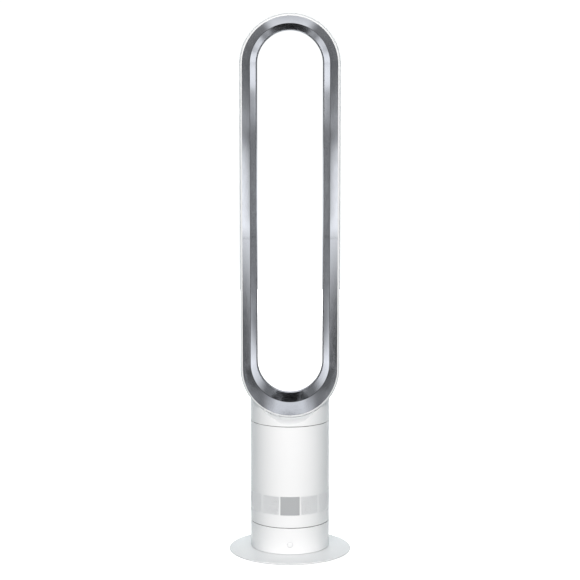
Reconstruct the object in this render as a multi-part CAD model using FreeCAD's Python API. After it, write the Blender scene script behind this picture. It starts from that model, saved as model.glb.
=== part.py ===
import FreeCAD
import Part
import math
import os
from FreeCAD import Vector

# Bladeless tower fan.  A tall open loop blows a sheet of air through a slot at its rear; a cylindrical
# body under it holds the motor and impeller, and swivels on a low collar that stands on a round plate.
# Millimetres, +Z up, front towards -Y.  The origin is on the swivel axis, on the floor.

# ---------------------------------------------------------------- driving dimensions
TOTAL_HEIGHT = 1007.0
LOOP_R = 91.8  # outer radius of the loop's round ends
LOWER_ARC_Z = 357.0  # centre of the loop's lower round end
UPPER_ARC_Z = TOTAL_HEIGHT - LOOP_R
LOOP_FRONT = -55.0
LOOP_REAR = 55.0
BODY_R = 74.0
WALL = 2.4
PLATE_R = 114.7
SWIVEL_LIMIT = 35.0  # degrees to each side

# heights of the joints that show from outside
COLLAR_BOTTOM = 9.9
COLLAR_TOP = 59.4
BODY_BOTTOM = 60.4
BODY_TOP = 251.3
NECK_BOTTOM = 252.2
NECK_TOP = 300.0

# air inlet windows, the front one holding the display
WINDOWS = 12
WINDOW_LOW = 84.2
WINDOW_HIGH = 119.6
WINDOW_HALF_DEG = 14.0
FRONT_DEG = -90.0

# power button, in the front of the collar
BUTTON_Z = 28.2
BUTTON_R = 4.4
BUTTON_TRAVEL = 0.8

# swivel bearing and gear drive
DECK_LOW = 43.0
DECK_TOP = 46.0
BALL_R = 2.5
BALL_TRACK_R = 60.0
BALLS = 20
RUNNING_GAP = 0.05
SWIVEL_LOW = DECK_TOP + 2 * BALL_R + 2 * RUNNING_GAP
SWIVEL_TOP = SWIVEL_LOW + 3.0
HUB_R = 16.0
GEAR_MODULE = 1.25
RING_TEETH = 72
PINION_TEETH = 12
RING_PITCH_R = GEAR_MODULE * RING_TEETH / 2
PINION_PITCH_R = GEAR_MODULE * PINION_TEETH / 2
PINION_X = PINION_PITCH_R - RING_PITCH_R
TOOTH_PLAY = 0.06
PRESSURE_DEG = 20.0

# fan stack
FAN_LOW = 130.0
FAN_TOP = 216.0
IMPELLER_LOW = 146.0
IMPELLER_TOP = 178.0
SHAFT_R = 3.0
BUCKET_R = 40.5
BUCKET_LOW = 180.0
BUCKET_SPLIT = 206.0

INNER_R = BODY_R - WALL
UP = Vector(0, 0, 1)
BACK = Vector(0, 1, 0)
ORIGIN = Vector(0, 0, 0)


# ---------------------------------------------------------------- shared shapes
def lathe_plane(r, z):
    return Vector(r, 0, z)


def floor_plane(x, y):
    return Vector(x, y, 0)


def outline(plane, start, *steps):
    """A face inside a closed outline. A step is an end point, or a (middle, end) pair for an arc."""
    first = plane(*start)
    here = first
    edges = []
    for step in steps:
        if isinstance(step[0], tuple):
            middle = plane(*step[0])
            end = plane(*step[1])
            edges.append(Part.Arc(here, middle, end).toShape())
        else:
            end = plane(*step)
            edges.append(Part.makeLine(here, end))
        here = end
    if here.distanceToPoint(first) > 1e-6:
        edges.append(Part.makeLine(here, first))
    return Part.Face(Part.Wire(edges))


def turned(start, *steps):
    """A lathe shape about the swivel axis, from (radius, height) points."""
    return outline(lathe_plane, start, *steps).revolve(ORIGIN, UP, 360)


def post(radius, low, high, x=0.0, y=0.0):
    return Part.makeCylinder(radius, high - low, Vector(x, y, low))


def tube(outer, inner, low, high, x=0.0, y=0.0):
    return post(outer, low, high, x, y).cut(post(inner, low - 1, high + 1, x, y))


def rod(radius, front, back, z, x=0.0):
    """A cylinder that lies front to back."""
    return Part.makeCylinder(radius, back - front, Vector(x, front, z), BACK)


def block(x0, x1, y0, y1, z0, z1):
    return Part.makeBox(x1 - x0, y1 - y0, z1 - z0, Vector(x0, y0, z0))


def pie(outer, inner, low, high, middle_deg, half_deg):
    """A piece of a tube, half_deg to each side of middle_deg."""
    piece = Part.makeCylinder(outer, high - low, Vector(0, 0, low), UP, 2 * half_deg)
    piece.rotate(ORIGIN, UP, middle_deg - half_deg)
    return piece.cut(post(inner, low - 1, high + 1))


def turned_copy(shape, degrees):
    copy = shape.copy()
    copy.rotate(ORIGIN, UP, degrees)
    return copy


def around(shape, count, first_deg=0.0):
    return [turned_copy(shape, first_deg + 360.0 * i / count) for i in range(count)]


def joined(shapes):
    return shapes[0].multiFuse(shapes[1:])


def on_circle(radius, degrees):
    return radius * math.cos(math.radians(degrees)), radius * math.sin(math.radians(degrees))


def screw(x, y, head_at, length, head_r=2.8, shank_r=1.45, head_h=1.9, up=True):
    """A pan-head screw with its head's flat side at head_at, driven upwards or downwards."""
    shank = post(shank_r, 0, length)
    head = post(head_r, -head_h, 0)
    made = shank.fuse(head).cut(post(1.1, -head_h, 1 - head_h))
    if not up:
        made.rotate(ORIGIN, Vector(1, 0, 0), 180)
    made.translate(Vector(x, y, head_at))
    return made


# ---------------------------------------------------------------- base plate and collar
BASE_SCREW_R = 64.0
BASE_SCREW_DEGS = [45.0, 135.0, 225.0, 315.0]
FEET = 6
FOOT_R = 8.0
FOOT_CIRCLE_R = 98.0
FLOOR_LOW = 8.0
FLOOR_TOP = 11.0
COVER_TOP = 2.9
COVER_R = 109.7
POWER_BOARD_Z = 20.0
BOARD_CORNERS = [(-18, -31), (-18, 31), (52, -31), (52, 31)]


def base_plate():
    """Round plate, hollow underneath, with a ring that the collar fits over and posts for the power board."""
    plate = turned(
        (0, FLOOR_LOW),
        (72.0, FLOOR_LOW),
        (COVER_R + 0.2, 3.0),
        (COVER_R + 0.2, 1.2),
        (PLATE_R - 1.5, 1.2),
        ((PLATE_R - 0.3, 2.0), (PLATE_R, 3.2)),
        ((PLATE_R - 0.5, 4.0), (PLATE_R - 1.5, 4.3)),
        (76.0, 9.2),
        (71.2, 9.4),
        (71.2, 17.0),
        (68.8, 17.0),
        (68.8, FLOOR_TOP),
        (0, FLOOR_TOP),
    )
    plate = plate.fuse(joined([post(3.0, FLOOR_TOP - 0.5, POWER_BOARD_Z, x, y) for x, y in BOARD_CORNERS]))
    for degrees in BASE_SCREW_DEGS:
        x, y = on_circle(BASE_SCREW_R, degrees)
        plate = plate.cut(post(1.6, 0, 20, x, y))
    return plate


def base_weight():
    """Steel ballast ring held between the plate's floor and the cover."""
    return tube(58.0, 20.0, COVER_TOP, FLOOR_LOW)


def base_cover():
    """Flat bottom cover, recessed for the feet."""
    cover = post(COVER_R, 1.4, COVER_TOP)
    for x, y in foot_places():
        cover = cover.cut(post(FOOT_R + 0.1, 1.0, 2.0, x, y))
    return cover


def foot_places():
    return [on_circle(FOOT_CIRCLE_R, 90.0 + 360.0 * i / FEET) for i in range(FEET)]


def rubber_feet():
    feet = []
    for x, y in foot_places():
        foot = turned((0, 0), (FOOT_R - 0.6, 0), (FOOT_R, 0.6), (FOOT_R, 2.0), (0, 2.0))
        foot.translate(Vector(x, y, 0))
        feet.append(foot)
    return Part.makeCompound(feet)


def base_collar():
    """The fixed white collar, with a ledge for the deck, screw posts, the button hole and the cord hole."""
    shell = turned(
        (INNER_R, COLLAR_BOTTOM),
        (BODY_R - 0.5, COLLAR_BOTTOM),
        ((BODY_R - 0.15, COLLAR_BOTTOM + 0.15), (BODY_R, COLLAR_BOTTOM + 0.5)),
        (BODY_R, COLLAR_TOP - 0.6),
        ((BODY_R - 0.17, COLLAR_TOP - 0.17), (BODY_R - 0.6, COLLAR_TOP)),
        (INNER_R, COLLAR_TOP),
        (INNER_R, DECK_LOW),
        (64.0, DECK_LOW),
        (64.0, DECK_LOW - 2.0),
        (INNER_R, DECK_LOW - 4.5),
    )
    posts = []
    for degrees in BASE_SCREW_DEGS:
        x, y = on_circle(BASE_SCREW_R, degrees)
        web = block(BASE_SCREW_R, INNER_R + 0.5, -1.2, 1.2, 18.0, 26.0)
        web.rotate(ORIGIN, UP, degrees)
        posts += [post(4.0, FLOOR_TOP + 0.1, 26.0, x, y), web]
    shell = joined([shell] + posts)
    for degrees in BASE_SCREW_DEGS:
        x, y = on_circle(BASE_SCREW_R, degrees)
        shell = shell.cut(post(1.5, FLOOR_TOP, 22.0, x, y))
    for degrees in DECK_SCREW_DEGS:
        x, y = on_circle(DECK_SCREW_R, degrees)
        shell = shell.cut(post(1.5, DECK_LOW - 3.0, DECK_LOW + 1, x, y))
    button_hole = rod(5.6, -BODY_R - 2, -INNER_R + 2, BUTTON_Z)
    cord_hole = rod(GLAND_R + 0.02, INNER_R - 3, BODY_R + 2, CORD_Z)
    return shell.cut(button_hole).cut(cord_hole)


def base_screws():
    places = [on_circle(BASE_SCREW_R, d) for d in BASE_SCREW_DEGS]
    return Part.makeCompound([screw(x, y, FLOOR_LOW, 12.0, head_r=3.0) for x, y in places])


# ---------------------------------------------------------------- cord inlet at the rear
CORD_Z = 27.0
GLAND_R = 6.0
CORD_BORE_R = 3.3
GLAND_FRONT = 65.6
GLAND_REAR = 75.8


def cable_gland():
    sleeve = rod(GLAND_R, GLAND_FRONT, GLAND_REAR - 1.0, CORD_Z)
    flange = rod(8.6, BODY_R + 0.05, GLAND_REAR, CORD_Z)
    nut = rod(8.6, GLAND_FRONT + 0.6, GLAND_FRONT + 4.2, CORD_Z)
    bore = rod(CORD_BORE_R, GLAND_FRONT - 1, GLAND_REAR + 1, CORD_Z)
    return joined([sleeve, flange, nut]).cut(bore)


# ---------------------------------------------------------------- power button
BUTTON_FACE = -BODY_R
HOLDER_FRONT = -70.0
SWITCH_FRONT = -63.9
BOARD_FRONT = -60.9
STEM_END = SWITCH_FRONT + 1.0


def button_bezel():
    ring = rod(5.55, BUTTON_FACE - 1, HOLDER_FRONT, BUTTON_Z)
    flange = rod(7.5, HOLDER_FRONT - 1.0, HOLDER_FRONT, BUTTON_Z)
    bore = rod(BUTTON_R + 0.1, BUTTON_FACE - 2, HOLDER_FRONT + 1, BUTTON_Z)
    flush = post(BODY_R + 0.05, BUTTON_Z - 20, BUTTON_Z + 20)
    return ring.fuse(flange).cut(bore).common(flush)


def power_button():
    """Round cap with a retaining flange and a stem that works the switch."""
    cap = rod(BUTTON_R, BUTTON_FACE, HOLDER_FRONT + 0.1, BUTTON_Z)
    flange = rod(5.6, HOLDER_FRONT + 0.1, HOLDER_FRONT + 1.3, BUTTON_Z)
    stem = rod(1.2, HOLDER_FRONT + 1.3, STEM_END, BUTTON_Z)
    button = joined([cap, flange, stem])
    front_edge = [e for e in button.Edges if abs(e.BoundBox.YMin - BUTTON_FACE) < 1e-4]
    return button.makeFillet(0.7, front_edge)


def button_holder():
    """Guide tube behind the bezel, with a floor that seats the spring and carries the switch."""
    guide = rod(8.0, HOLDER_FRONT, SWITCH_FRONT, BUTTON_Z)
    well = rod(6.0, HOLDER_FRONT - 1, SWITCH_FRONT - 1.0, BUTTON_Z)
    hole = rod(2.0, HOLDER_FRONT, SWITCH_FRONT + 1, BUTTON_Z)
    feet = block(-12, 12, SWITCH_FRONT - 1.4, SWITCH_FRONT, BUTTON_Z - 3, BUTTON_Z + 3)
    return guide.fuse(feet).cut(well).cut(hole)


def button_spring():
    """Return spring, a coil between the button's flange and the holder's floor."""
    wire_r = 0.3
    front = HOLDER_FRONT + 1.3
    back = SWITCH_FRONT - 1.0
    coil_length = back - front - 2 * wire_r
    coil_r = 3.4
    helix = Part.makeHelix(coil_length / 4, coil_length, coil_r)
    section = Part.Wire(Part.makeCircle(wire_r, Vector(coil_r, 0, 0), BACK))
    coil = Part.Wire(helix).makePipeShell([section], True, True)
    coil.rotate(ORIGIN, Vector(1, 0, 0), -90)
    coil.translate(Vector(0, front + wire_r, BUTTON_Z))
    return coil


def tact_switch():
    case = block(-3.1, 3.1, SWITCH_FRONT, BOARD_FRONT, BUTTON_Z - 3.1, BUTTON_Z + 3.1)
    return case.cut(rod(1.6, SWITCH_FRONT - 1, STEM_END + BUTTON_TRAVEL + 0.4, BUTTON_Z))


def button_board():
    return block(-13, 13, BOARD_FRONT, BOARD_FRONT + 1.6, BUTTON_Z - 9, BUTTON_Z + 9)


# ---------------------------------------------------------------- power supply in the collar
BOARD_T = 1.6
SLIP_R = 8.0
SLIP_Z = 29.0


def power_board():
    return block(-22, 56, -34, 34, POWER_BOARD_Z, POWER_BOARD_Z + BOARD_T)


def power_board_parts():
    """Transformer, capacitors, relay and coil, and the fixed half of the slip contact in the middle."""
    top = POWER_BOARD_Z + BOARD_T
    return Part.makeCompound([
        post(SLIP_R, top, SLIP_Z - 0.4),
        block(17, 39, -32, -8, top, top + 14),
        post(6.0, top, top + 15, 46, -22),
        post(4.0, top, top + 11, 46, -6),
        block(-16, 2, -29, -15, top, top + 10),
        block(38, 52, 6, 26, top, top + 9),
        block(-18, 6, 10, 30, top, top + 6),
        tube(8.0, 4.0, top, top + 7, 22, 16),
    ])


# ---------------------------------------------------------------- swivel deck, bearing and stop
DECK_SCREW_R = 67.3
DECK_SCREW_DEGS = [20.0, 110.0, 200.0, 290.0]
STOP_R = 27.0
STOP_PIN_R = 2.0
STOP_HALF_DEG = SWIVEL_LIMIT + math.degrees(math.asin(STOP_PIN_R / STOP_R)) + 0.8
MOTOR_CAN_X = PINION_X - 8.0
MOTOR_EAR_Y = 17.5


def swivel_deck():
    """The fixed deck that carries the swivelling body, with a long bushing for its hub."""
    deck = turned((HUB_R + RUNNING_GAP, DECK_LOW), (71.3, DECK_LOW), (71.3, DECK_TOP), (20.0, DECK_TOP),
                  (20.0, SWIVEL_LOW - 0.5), (HUB_R + RUNNING_GAP, SWIVEL_LOW - 0.5))
    for degrees in DECK_SCREW_DEGS:
        x, y = on_circle(DECK_SCREW_R, degrees)
        deck = deck.cut(post(1.7, DECK_LOW - 1, DECK_TOP + 1, x, y))
    deck = deck.cut(post(4.8, DECK_LOW - 1, DECK_TOP + 1, PINION_X, 0))
    deck = deck.cut(post(STOP_PIN_R + 0.02, DECK_LOW - 1, DECK_TOP + 1, STOP_R, 0))
    for y in (-MOTOR_EAR_Y, MOTOR_EAR_Y):
        deck = deck.cut(post(1.5, DECK_LOW - 1, DECK_TOP + 1, MOTOR_CAN_X, y))
    return deck


def deck_screws():
    places = [on_circle(DECK_SCREW_R, d) for d in DECK_SCREW_DEGS]
    return Part.makeCompound([screw(x, y, DECK_TOP, 5.5, head_h=1.8, up=False) for x, y in places])


def stop_pin():
    return post(STOP_PIN_R, DECK_LOW, SWIVEL_TOP - 0.5, STOP_R, 0)


def bearing_cage():
    middle = DECK_TOP + RUNNING_GAP + BALL_R
    cage = tube(BALL_TRACK_R + 3.1, BALL_TRACK_R - 3.1, middle - 1.3, middle + 1.3)
    for hole in around(post(BALL_R + 0.1, DECK_TOP, SWIVEL_LOW, BALL_TRACK_R, 0), BALLS):
        cage = cage.cut(hole)
    return cage


def bearing_balls():
    ball = Part.makeSphere(BALL_R, Vector(BALL_TRACK_R, 0, DECK_TOP + RUNNING_GAP + BALL_R))
    return Part.makeCompound(around(ball, BALLS))


# ---------------------------------------------------------------- swivel gear drive
def involute(angle):
    return math.tan(angle) - angle


def gear_face(teeth, addendum, dedendum, play):
    """An involute gear's outline, each flank one arc through three points of the involute."""
    pitch_r = GEAR_MODULE * teeth / 2
    base_r = pitch_r * math.cos(math.radians(PRESSURE_DEG))
    tip_r = pitch_r + addendum
    root_r = pitch_r - dedendum
    flank_low = max(base_r, root_r)
    at_pitch = math.pi / 2 / teeth - play / pitch_r + involute(math.radians(PRESSURE_DEG))

    def half_angle(r):
        return at_pitch - involute(math.acos(min(1.0, base_r / r)))

    def at(r, angle):
        return (r * math.cos(angle), r * math.sin(angle))

    middle_r = (flank_low + tip_r) / 2
    steps = []
    for i in range(teeth):
        centre = 2 * math.pi * i / teeth
        if root_r < flank_low:
            steps.append(at(flank_low, centre - half_angle(flank_low)))
        steps.append((at(middle_r, centre - half_angle(middle_r)), at(tip_r, centre - half_angle(tip_r))))
        steps.append((at(tip_r, centre), at(tip_r, centre + half_angle(tip_r))))
        flank_end = at(flank_low, centre + half_angle(flank_low))
        steps.append((at(middle_r, centre + half_angle(middle_r)), flank_end))
        if root_r < flank_low:
            steps.append(at(root_r, centre + half_angle(flank_low)))
        gap = centre + math.pi / teeth
        steps.append((at(root_r, gap), at(root_r, gap + math.pi / teeth - half_angle(flank_low))))
    start = at(root_r, -half_angle(flank_low))
    return outline(floor_plane, start, *steps)


def ring_gear():
    """Internal ring gear under the swivel plate."""
    low = DECK_TOP + 1.9
    tooth_spaces = gear_face(RING_TEETH, 1.25, 0.75, -TOOTH_PLAY).extrude(UP * (SWIVEL_LOW - low + 2))
    tooth_spaces.translate(UP * (low - 1))
    return post(50.0, low, SWIVEL_LOW).cut(tooth_spaces)


def drive_pinion():
    low = DECK_TOP + 2.2
    high = SWIVEL_LOW - 0.3
    pinion = gear_face(PINION_TEETH, 1.0, 1.2, TOOTH_PLAY).extrude(UP * (high - low))
    pinion.translate(Vector(PINION_X, 0, low))
    return pinion.cut(drive_shaft())


def drive_shaft():
    return post(2.5, 42.9, SWIVEL_LOW - 0.4, PINION_X, 0)


def swivel_motor():
    """Geared stepper under the deck: its output shaft stands off the can's centre."""
    can = post(14.0, 24.0, 42.9, MOTOR_CAN_X, 0)
    ears = block(MOTOR_CAN_X - 3.5, MOTOR_CAN_X + 3.5, -21, 21, 42.0, 42.9)
    boss = post(4.5, 42.9, 44.4, PINION_X, 0)
    tail = block(MOTOR_CAN_X - 17, MOTOR_CAN_X, -7.5, 7.5, 26.0, 40.0)
    motor = joined([can, ears, boss, tail]).cut(post(2.55, 36.0, 46.0, PINION_X, 0))
    for y in (-MOTOR_EAR_Y, MOTOR_EAR_Y):
        motor = motor.cut(post(1.7, 41, 44, MOTOR_CAN_X, y))
    return motor


def swivel_motor_screws():
    sides = (-MOTOR_EAR_Y, MOTOR_EAR_Y)
    return Part.makeCompound([screw(MOTOR_CAN_X, y, 42.0, 3.8, head_h=1.6) for y in sides])


# ---------------------------------------------------------------- swivelling floor of the body
BODY_SCREW_R = 66.0
BODY_SCREW_DEGS = [45.0, 135.0, 225.0, 315.0]
COLUMN_R = 3.4
UPSTAND_TOP = 67.0
CHAMBER_FLOOR_TOP = 69.0
MAIN_BOARD_Z = SWIVEL_TOP + 4.0


def swivel_plate():
    """Rotating plate: a hub in the deck's bushing, a stop slot, and an upstand inside the body shell."""
    plate = turned(
        (12.5, 37.0),
        (HUB_R - 0.5, 37.0),
        (HUB_R, 37.5),
        (HUB_R, 40.4),
        (14.6, 40.4),
        (14.6, 42.6),
        (HUB_R, 42.6),
        (HUB_R, SWIVEL_LOW),
        (70.0, SWIVEL_LOW),
        (71.1, SWIVEL_LOW + 1.1),
        (71.1, UPSTAND_TOP),
        (69.6, UPSTAND_TOP),
        (69.6, SWIVEL_TOP),
        (12.5, SWIVEL_TOP),
    )
    plate = plate.cut(pie(STOP_R + 2.5, STOP_R - 2.5, SWIVEL_LOW - 1, SWIVEL_TOP + 1, 0, STOP_HALF_DEG))
    for degrees in BODY_SCREW_DEGS:
        x, y = on_circle(BODY_SCREW_R, degrees)
        plate = plate.cut(post(1.6, SWIVEL_LOW - 1, SWIVEL_TOP + 1, x, y))
    return plate


def retaining_ring():
    """Split ring in the hub's groove, under the deck, that keeps the body from lifting."""
    ring = tube(19.5, 14.65, 40.5, 42.5)
    return ring.cut(block(10, 22, -3, 3, 40, 43))


def body_screws():
    places = [on_circle(BODY_SCREW_R, d) for d in BODY_SCREW_DEGS]
    return Part.makeCompound([screw(x, y, SWIVEL_LOW, 15.0, head_r=2.4, head_h=1.7) for x, y in places])


def main_board():
    board = block(18, 52, -38, 38, MAIN_BOARD_Z, MAIN_BOARD_Z + BOARD_T)
    corners = [(22, -34), (22, 34), (48, -34), (48, 34)]
    return joined([board] + [post(2.6, SWIVEL_TOP, MAIN_BOARD_Z + 0.2, x, y) for x, y in corners])


def main_board_parts():
    top = MAIN_BOARD_Z + BOARD_T
    return Part.makeCompound([
        block(24, 36, -14, -2, top, top + 1.4),
        block(24, 32, 8, 26, top, top + 5),
        post(4.0, top, top + 6, 44, -20),
        post(4.0, top, top + 6, 44, -8),
        block(38, 50, 6, 30, top, top + 4),
        block(24, 36, -30, -20, top, top + 5),
    ])


def wire_loom():
    """Wires that rise through the hollow hub, from the turning half of the slip contact to the main board."""
    wires = [post(1.3, SLIP_Z + 4, 60.0, *on_circle(4.2, 72.0 * i)) for i in range(5)]
    contact = post(SLIP_R, SLIP_Z, SLIP_Z + 4)
    plug = block(-8, 22, -7, 7, MAIN_BOARD_Z + BOARD_T, MAIN_BOARD_Z + BOARD_T + 4)
    return joined([contact, plug] + wires)


def chamber_floor():
    """Lid on the swivel plate's upstand, closing off the electronics from the air chamber."""
    floor = post(71.1, UPSTAND_TOP, CHAMBER_FLOOR_TOP)
    for degrees in BODY_SCREW_DEGS:
        floor = floor.cut(post(COLUMN_R + 0.2, 60, 75, *on_circle(BODY_SCREW_R, degrees)))
    return floor


def floor_foam():
    """Sound-absorbing foam pad on the chamber floor."""
    low = CHAMBER_FLOOR_TOP
    return turned((0, low), (61.0, low), (61.0, 76.0), ((58.0, 79.0), (54.0, 80.0)), (0, 80.0))


# ---------------------------------------------------------------- body shell, inlet and display
LEDGE_LOW = 123.6
LEDGE_TOP = 127.0
DISPLAY_Y = -66.0


def body_shell():
    """White cylinder with a row of windows round it and a ledge inside for the fan stack."""
    shell = turned(
        (INNER_R, BODY_BOTTOM),
        (BODY_R - 0.6, BODY_BOTTOM),
        ((BODY_R - 0.17, BODY_BOTTOM + 0.17), (BODY_R, BODY_BOTTOM + 0.6)),
        (BODY_R, BODY_TOP - 0.6),
        ((BODY_R - 0.17, BODY_TOP - 0.17), (BODY_R - 0.6, BODY_TOP)),
        (INNER_R, BODY_TOP),
        (INNER_R, LEDGE_TOP),
        (66.0, LEDGE_TOP),
        (66.0, LEDGE_TOP - 1.4),
        (INNER_R, LEDGE_LOW - 2.0),
    )
    columns = []
    for degrees in BODY_SCREW_DEGS:
        web = block(BODY_SCREW_R, INNER_R + 0.5, -1.2, 1.2, 70.0, 80.0)
        web.rotate(ORIGIN, UP, degrees)
        columns += [post(COLUMN_R, SWIVEL_TOP, 80.0, *on_circle(BODY_SCREW_R, degrees)), web]
    shell = joined([shell] + columns)
    for degrees in BODY_SCREW_DEGS:
        shell = shell.cut(post(1.5, SWIVEL_TOP - 1, 70.0, *on_circle(BODY_SCREW_R, degrees)))
    window = pie(BODY_R + 2, INNER_R - 2, WINDOW_LOW, WINDOW_HIGH, FRONT_DEG, WINDOW_HALF_DEG)
    for opening in around(window, WINDOWS):
        shell = shell.cut(opening)
    return shell


def window_panel(thickness):
    low, high = WINDOW_LOW + 0.1, WINDOW_HIGH - 0.1
    return pie(BODY_R, BODY_R - thickness, low, high, FRONT_DEG, WINDOW_HALF_DEG - 0.08)


def inlet_grilles():
    """Eleven slotted panels, one in each window but the front one."""
    slots = 8
    pitch = (WINDOW_HIGH - WINDOW_LOW) / slots
    panel = window_panel(1.6)
    for i in range(slots):
        low = WINDOW_LOW + (i + 0.27) * pitch
        slot = pie(BODY_R + 1, BODY_R - 3, low, low + 0.46 * pitch, FRONT_DEG, WINDOW_HALF_DEG - 1.6)
        panel = panel.cut(slot)
    return Part.makeCompound(around(panel, WINDOWS)[1:])


def display_lens():
    return window_panel(1.8)


def display_board():
    """Circuit board on two rails that bridge the shell's front window inside."""
    board = block(-16, 16, DISPLAY_Y, DISPLAY_Y + BOARD_T, WINDOW_LOW + 1, WINDOW_HIGH - 1)
    connector = block(-12, 12, DISPLAY_Y + BOARD_T, DISPLAY_Y + BOARD_T + 3, WINDOW_LOW + 6, WINDOW_LOW + 14)
    low, high = WINDOW_LOW - 3.6, WINDOW_HIGH + 1.4
    rails = [block(x, x + 4, -69.0, DISPLAY_Y + BOARD_T, low, high) for x in (-19, 15)]
    return joined([board, connector] + rails)


def display_parts():
    """Light-emitting digit block that shines through the front window, and the remote's receiver."""
    case = block(-9, 9, DISPLAY_Y - 4.2, DISPLAY_Y, 92.0, 112.0)
    for z in (94.4, 101.2, 108.0):
        case = case.cut(block(-5.5, 5.5, DISPLAY_Y - 5, DISPLAY_Y - 3.4, z, z + 1.6))
    receiver = block(10.4, 14.4, DISPLAY_Y - 3, DISPLAY_Y, 98.0, 105.0)
    eye = rod(1.8, DISPLAY_Y - 3.5, DISPLAY_Y - 2.9, 101.5, 12.4)
    return Part.makeCompound([case, receiver.fuse(eye)])


# ---------------------------------------------------------------- fan stack
def rubber_mounts():
    return Part.makeCompound(around(post(3.0, LEDGE_TOP, FAN_LOW, 68.4, 0), 3, 30.0))


def fan_housing():
    """Sleeve round the impeller, with a flange that stands on the rubber mounts."""
    low = FAN_LOW
    flange = low + 2.2
    return turned((64.0, low), (71.0, low), (71.0, flange), (66.2, flange), (66.2, FAN_TOP), (64.0, FAN_TOP))


def bellmouth():
    """Flared inlet ring that leads air into the impeller."""
    return turned(
        (63.9, FAN_LOW),
        (63.9, FAN_LOW + 2.0),
        (62.0, FAN_LOW + 2.0),
        ((52.0, FAN_LOW + 5.4), (47.6, IMPELLER_LOW - 1.0)),
        (46.0, IMPELLER_LOW - 1.0),
        ((50.6, FAN_LOW + 4.0), (62.0, FAN_LOW)),
    )


BLADES = 9
BLADE_SWEEP_DEG = 52.0
HUB_LOW_R = 13.0
HUB_HIGH_R = 40.0
SHROUD_LOW_R = 48.0
SHROUD_HIGH_R = 61.0


def blade():
    """One swept blade, lofted through radial slices from the hub to the shroud."""
    slices = []
    for share in (0.02, 0.34, 0.67, 0.985):
        z = IMPELLER_LOW + share * (IMPELLER_TOP - IMPELLER_LOW)
        inner = HUB_LOW_R + share * (HUB_HIGH_R - HUB_LOW_R) - 1.2
        outer = SHROUD_LOW_R + share * (SHROUD_HIGH_R - SHROUD_LOW_R) + 0.7
        corners = [(inner, -0.7), (outer, -0.7), (outer, 0.7), (inner, 0.7)]
        wire = Part.makePolygon([Vector(x, y, z) for x, y in corners + corners[:1]])
        wire.rotate(ORIGIN, UP, BLADE_SWEEP_DEG * share ** 0.8)
        slices.append(wire)
    return Part.makeLoft(slices, True, False)


def impeller():
    """Mixed-flow impeller: hollow cone hub, swept blades and a shroud, one moulding."""
    hub = turned(
        (SHAFT_R, IMPELLER_LOW - 2.0),
        (9.0, IMPELLER_LOW - 2.0),
        ((11.4, IMPELLER_LOW - 1.2), (HUB_LOW_R, IMPELLER_LOW)),
        (HUB_HIGH_R, IMPELLER_TOP),
        (HUB_HIGH_R - 3.2, IMPELLER_TOP),
        (HUB_LOW_R - 1.0, IMPELLER_LOW + 4.0),
        (7.0, IMPELLER_LOW + 4.0),
        (7.0, IMPELLER_LOW + 18.0),
        (SHAFT_R, IMPELLER_LOW + 18.0),
    )
    shroud = turned(
        (SHROUD_LOW_R, IMPELLER_LOW),
        (SHROUD_LOW_R + 1.3, IMPELLER_LOW),
        (SHROUD_HIGH_R + 1.3, IMPELLER_TOP),
        (SHROUD_HIGH_R, IMPELLER_TOP),
    )
    return joined([hub, shroud] + around(blade(), BLADES))


def motor_shaft():
    return post(SHAFT_R, IMPELLER_LOW - 3.0, 220.0)


def rotor_magnet():
    return tube(10.0, SHAFT_R, 190.0, 206.0)


def motor_bucket():
    """Lower half of the motor housing, with the lower bearing's seat."""
    return turned(
        (8.02, BUCKET_LOW),
        (BUCKET_R - 2.0, BUCKET_LOW),
        (BUCKET_R, BUCKET_LOW + 2.0),
        (BUCKET_R, BUCKET_SPLIT),
        (BUCKET_R - 2.0, BUCKET_SPLIT),
        (BUCKET_R - 2.0, BUCKET_LOW + 2.4),
        (11.0, BUCKET_LOW + 2.4),
        (11.0, BUCKET_LOW + 7.0),
        (8.02, BUCKET_LOW + 7.0),
    )


def bucket_cap():
    """Upper half, a smooth tail cone with the upper bearing's seat inside."""
    return turned(
        (BUCKET_R, BUCKET_SPLIT),
        ((34.0, 226.0), (14.0, 246.0)),
        ((10.0, 248.3), (5.0, 249.0)),
        (0, 249.0),
        (0, 246.8),
        (5.0, 246.8),
        ((9.2, 246.0), (12.6, 244.0)),
        ((30.4, 228.0), (38.0, 212.0)),
        (11.0, 212.0),
        (11.0, 217.0),
        (8.02, 217.0),
        (8.02, 209.6),
        (38.4, 209.6),
        (38.5, BUCKET_SPLIT),
    )


def motor_bearings():
    bearings = []
    for low in (BUCKET_LOW + 0.6, 210.2):
        bearings.append(tube(8.0, 6.6, low, low + 6.0))
        bearings.append(tube(4.4, SHAFT_R + 0.02, low, low + 6.0))
        ball = Part.makeSphere(1.05, Vector(5.5, 0, low + 3.0))
        bearings += around(ball, 7)
    return Part.makeCompound(bearings)


STATOR_TEETH = 9
STATOR_LOW = 190.5
STATOR_TOP = 205.5


def motor_stator():
    ring = tube(38.4, 33.0, STATOR_LOW, STATOR_TOP)
    tooth = block(13.0, 34.0, -2.4, 2.4, STATOR_LOW, STATOR_TOP)
    shoe = pie(13.4, 10.9, STATOR_LOW, STATOR_TOP, 0, 16.0)
    teeth = around(tooth.fuse(shoe), STATOR_TEETH)
    return joined([ring] + teeth)


def motor_coils():
    """Copper windings, one round each stator tooth."""
    winding = block(17.5, 31.5, -4.6, 4.6, STATOR_LOW - 1.8, STATOR_TOP + 1.8)
    winding = winding.cut(block(15.0, 34.0, -2.5, 2.5, STATOR_LOW - 0.1, STATOR_TOP + 0.1))
    wedge = pie(40.0, 1.0, STATOR_LOW - 5, STATOR_TOP + 5, 0, 180.0 / STATOR_TEETH - 0.8)
    return Part.makeCompound(around(winding.common(wedge), STATOR_TEETH))


VANES = 11


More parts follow.
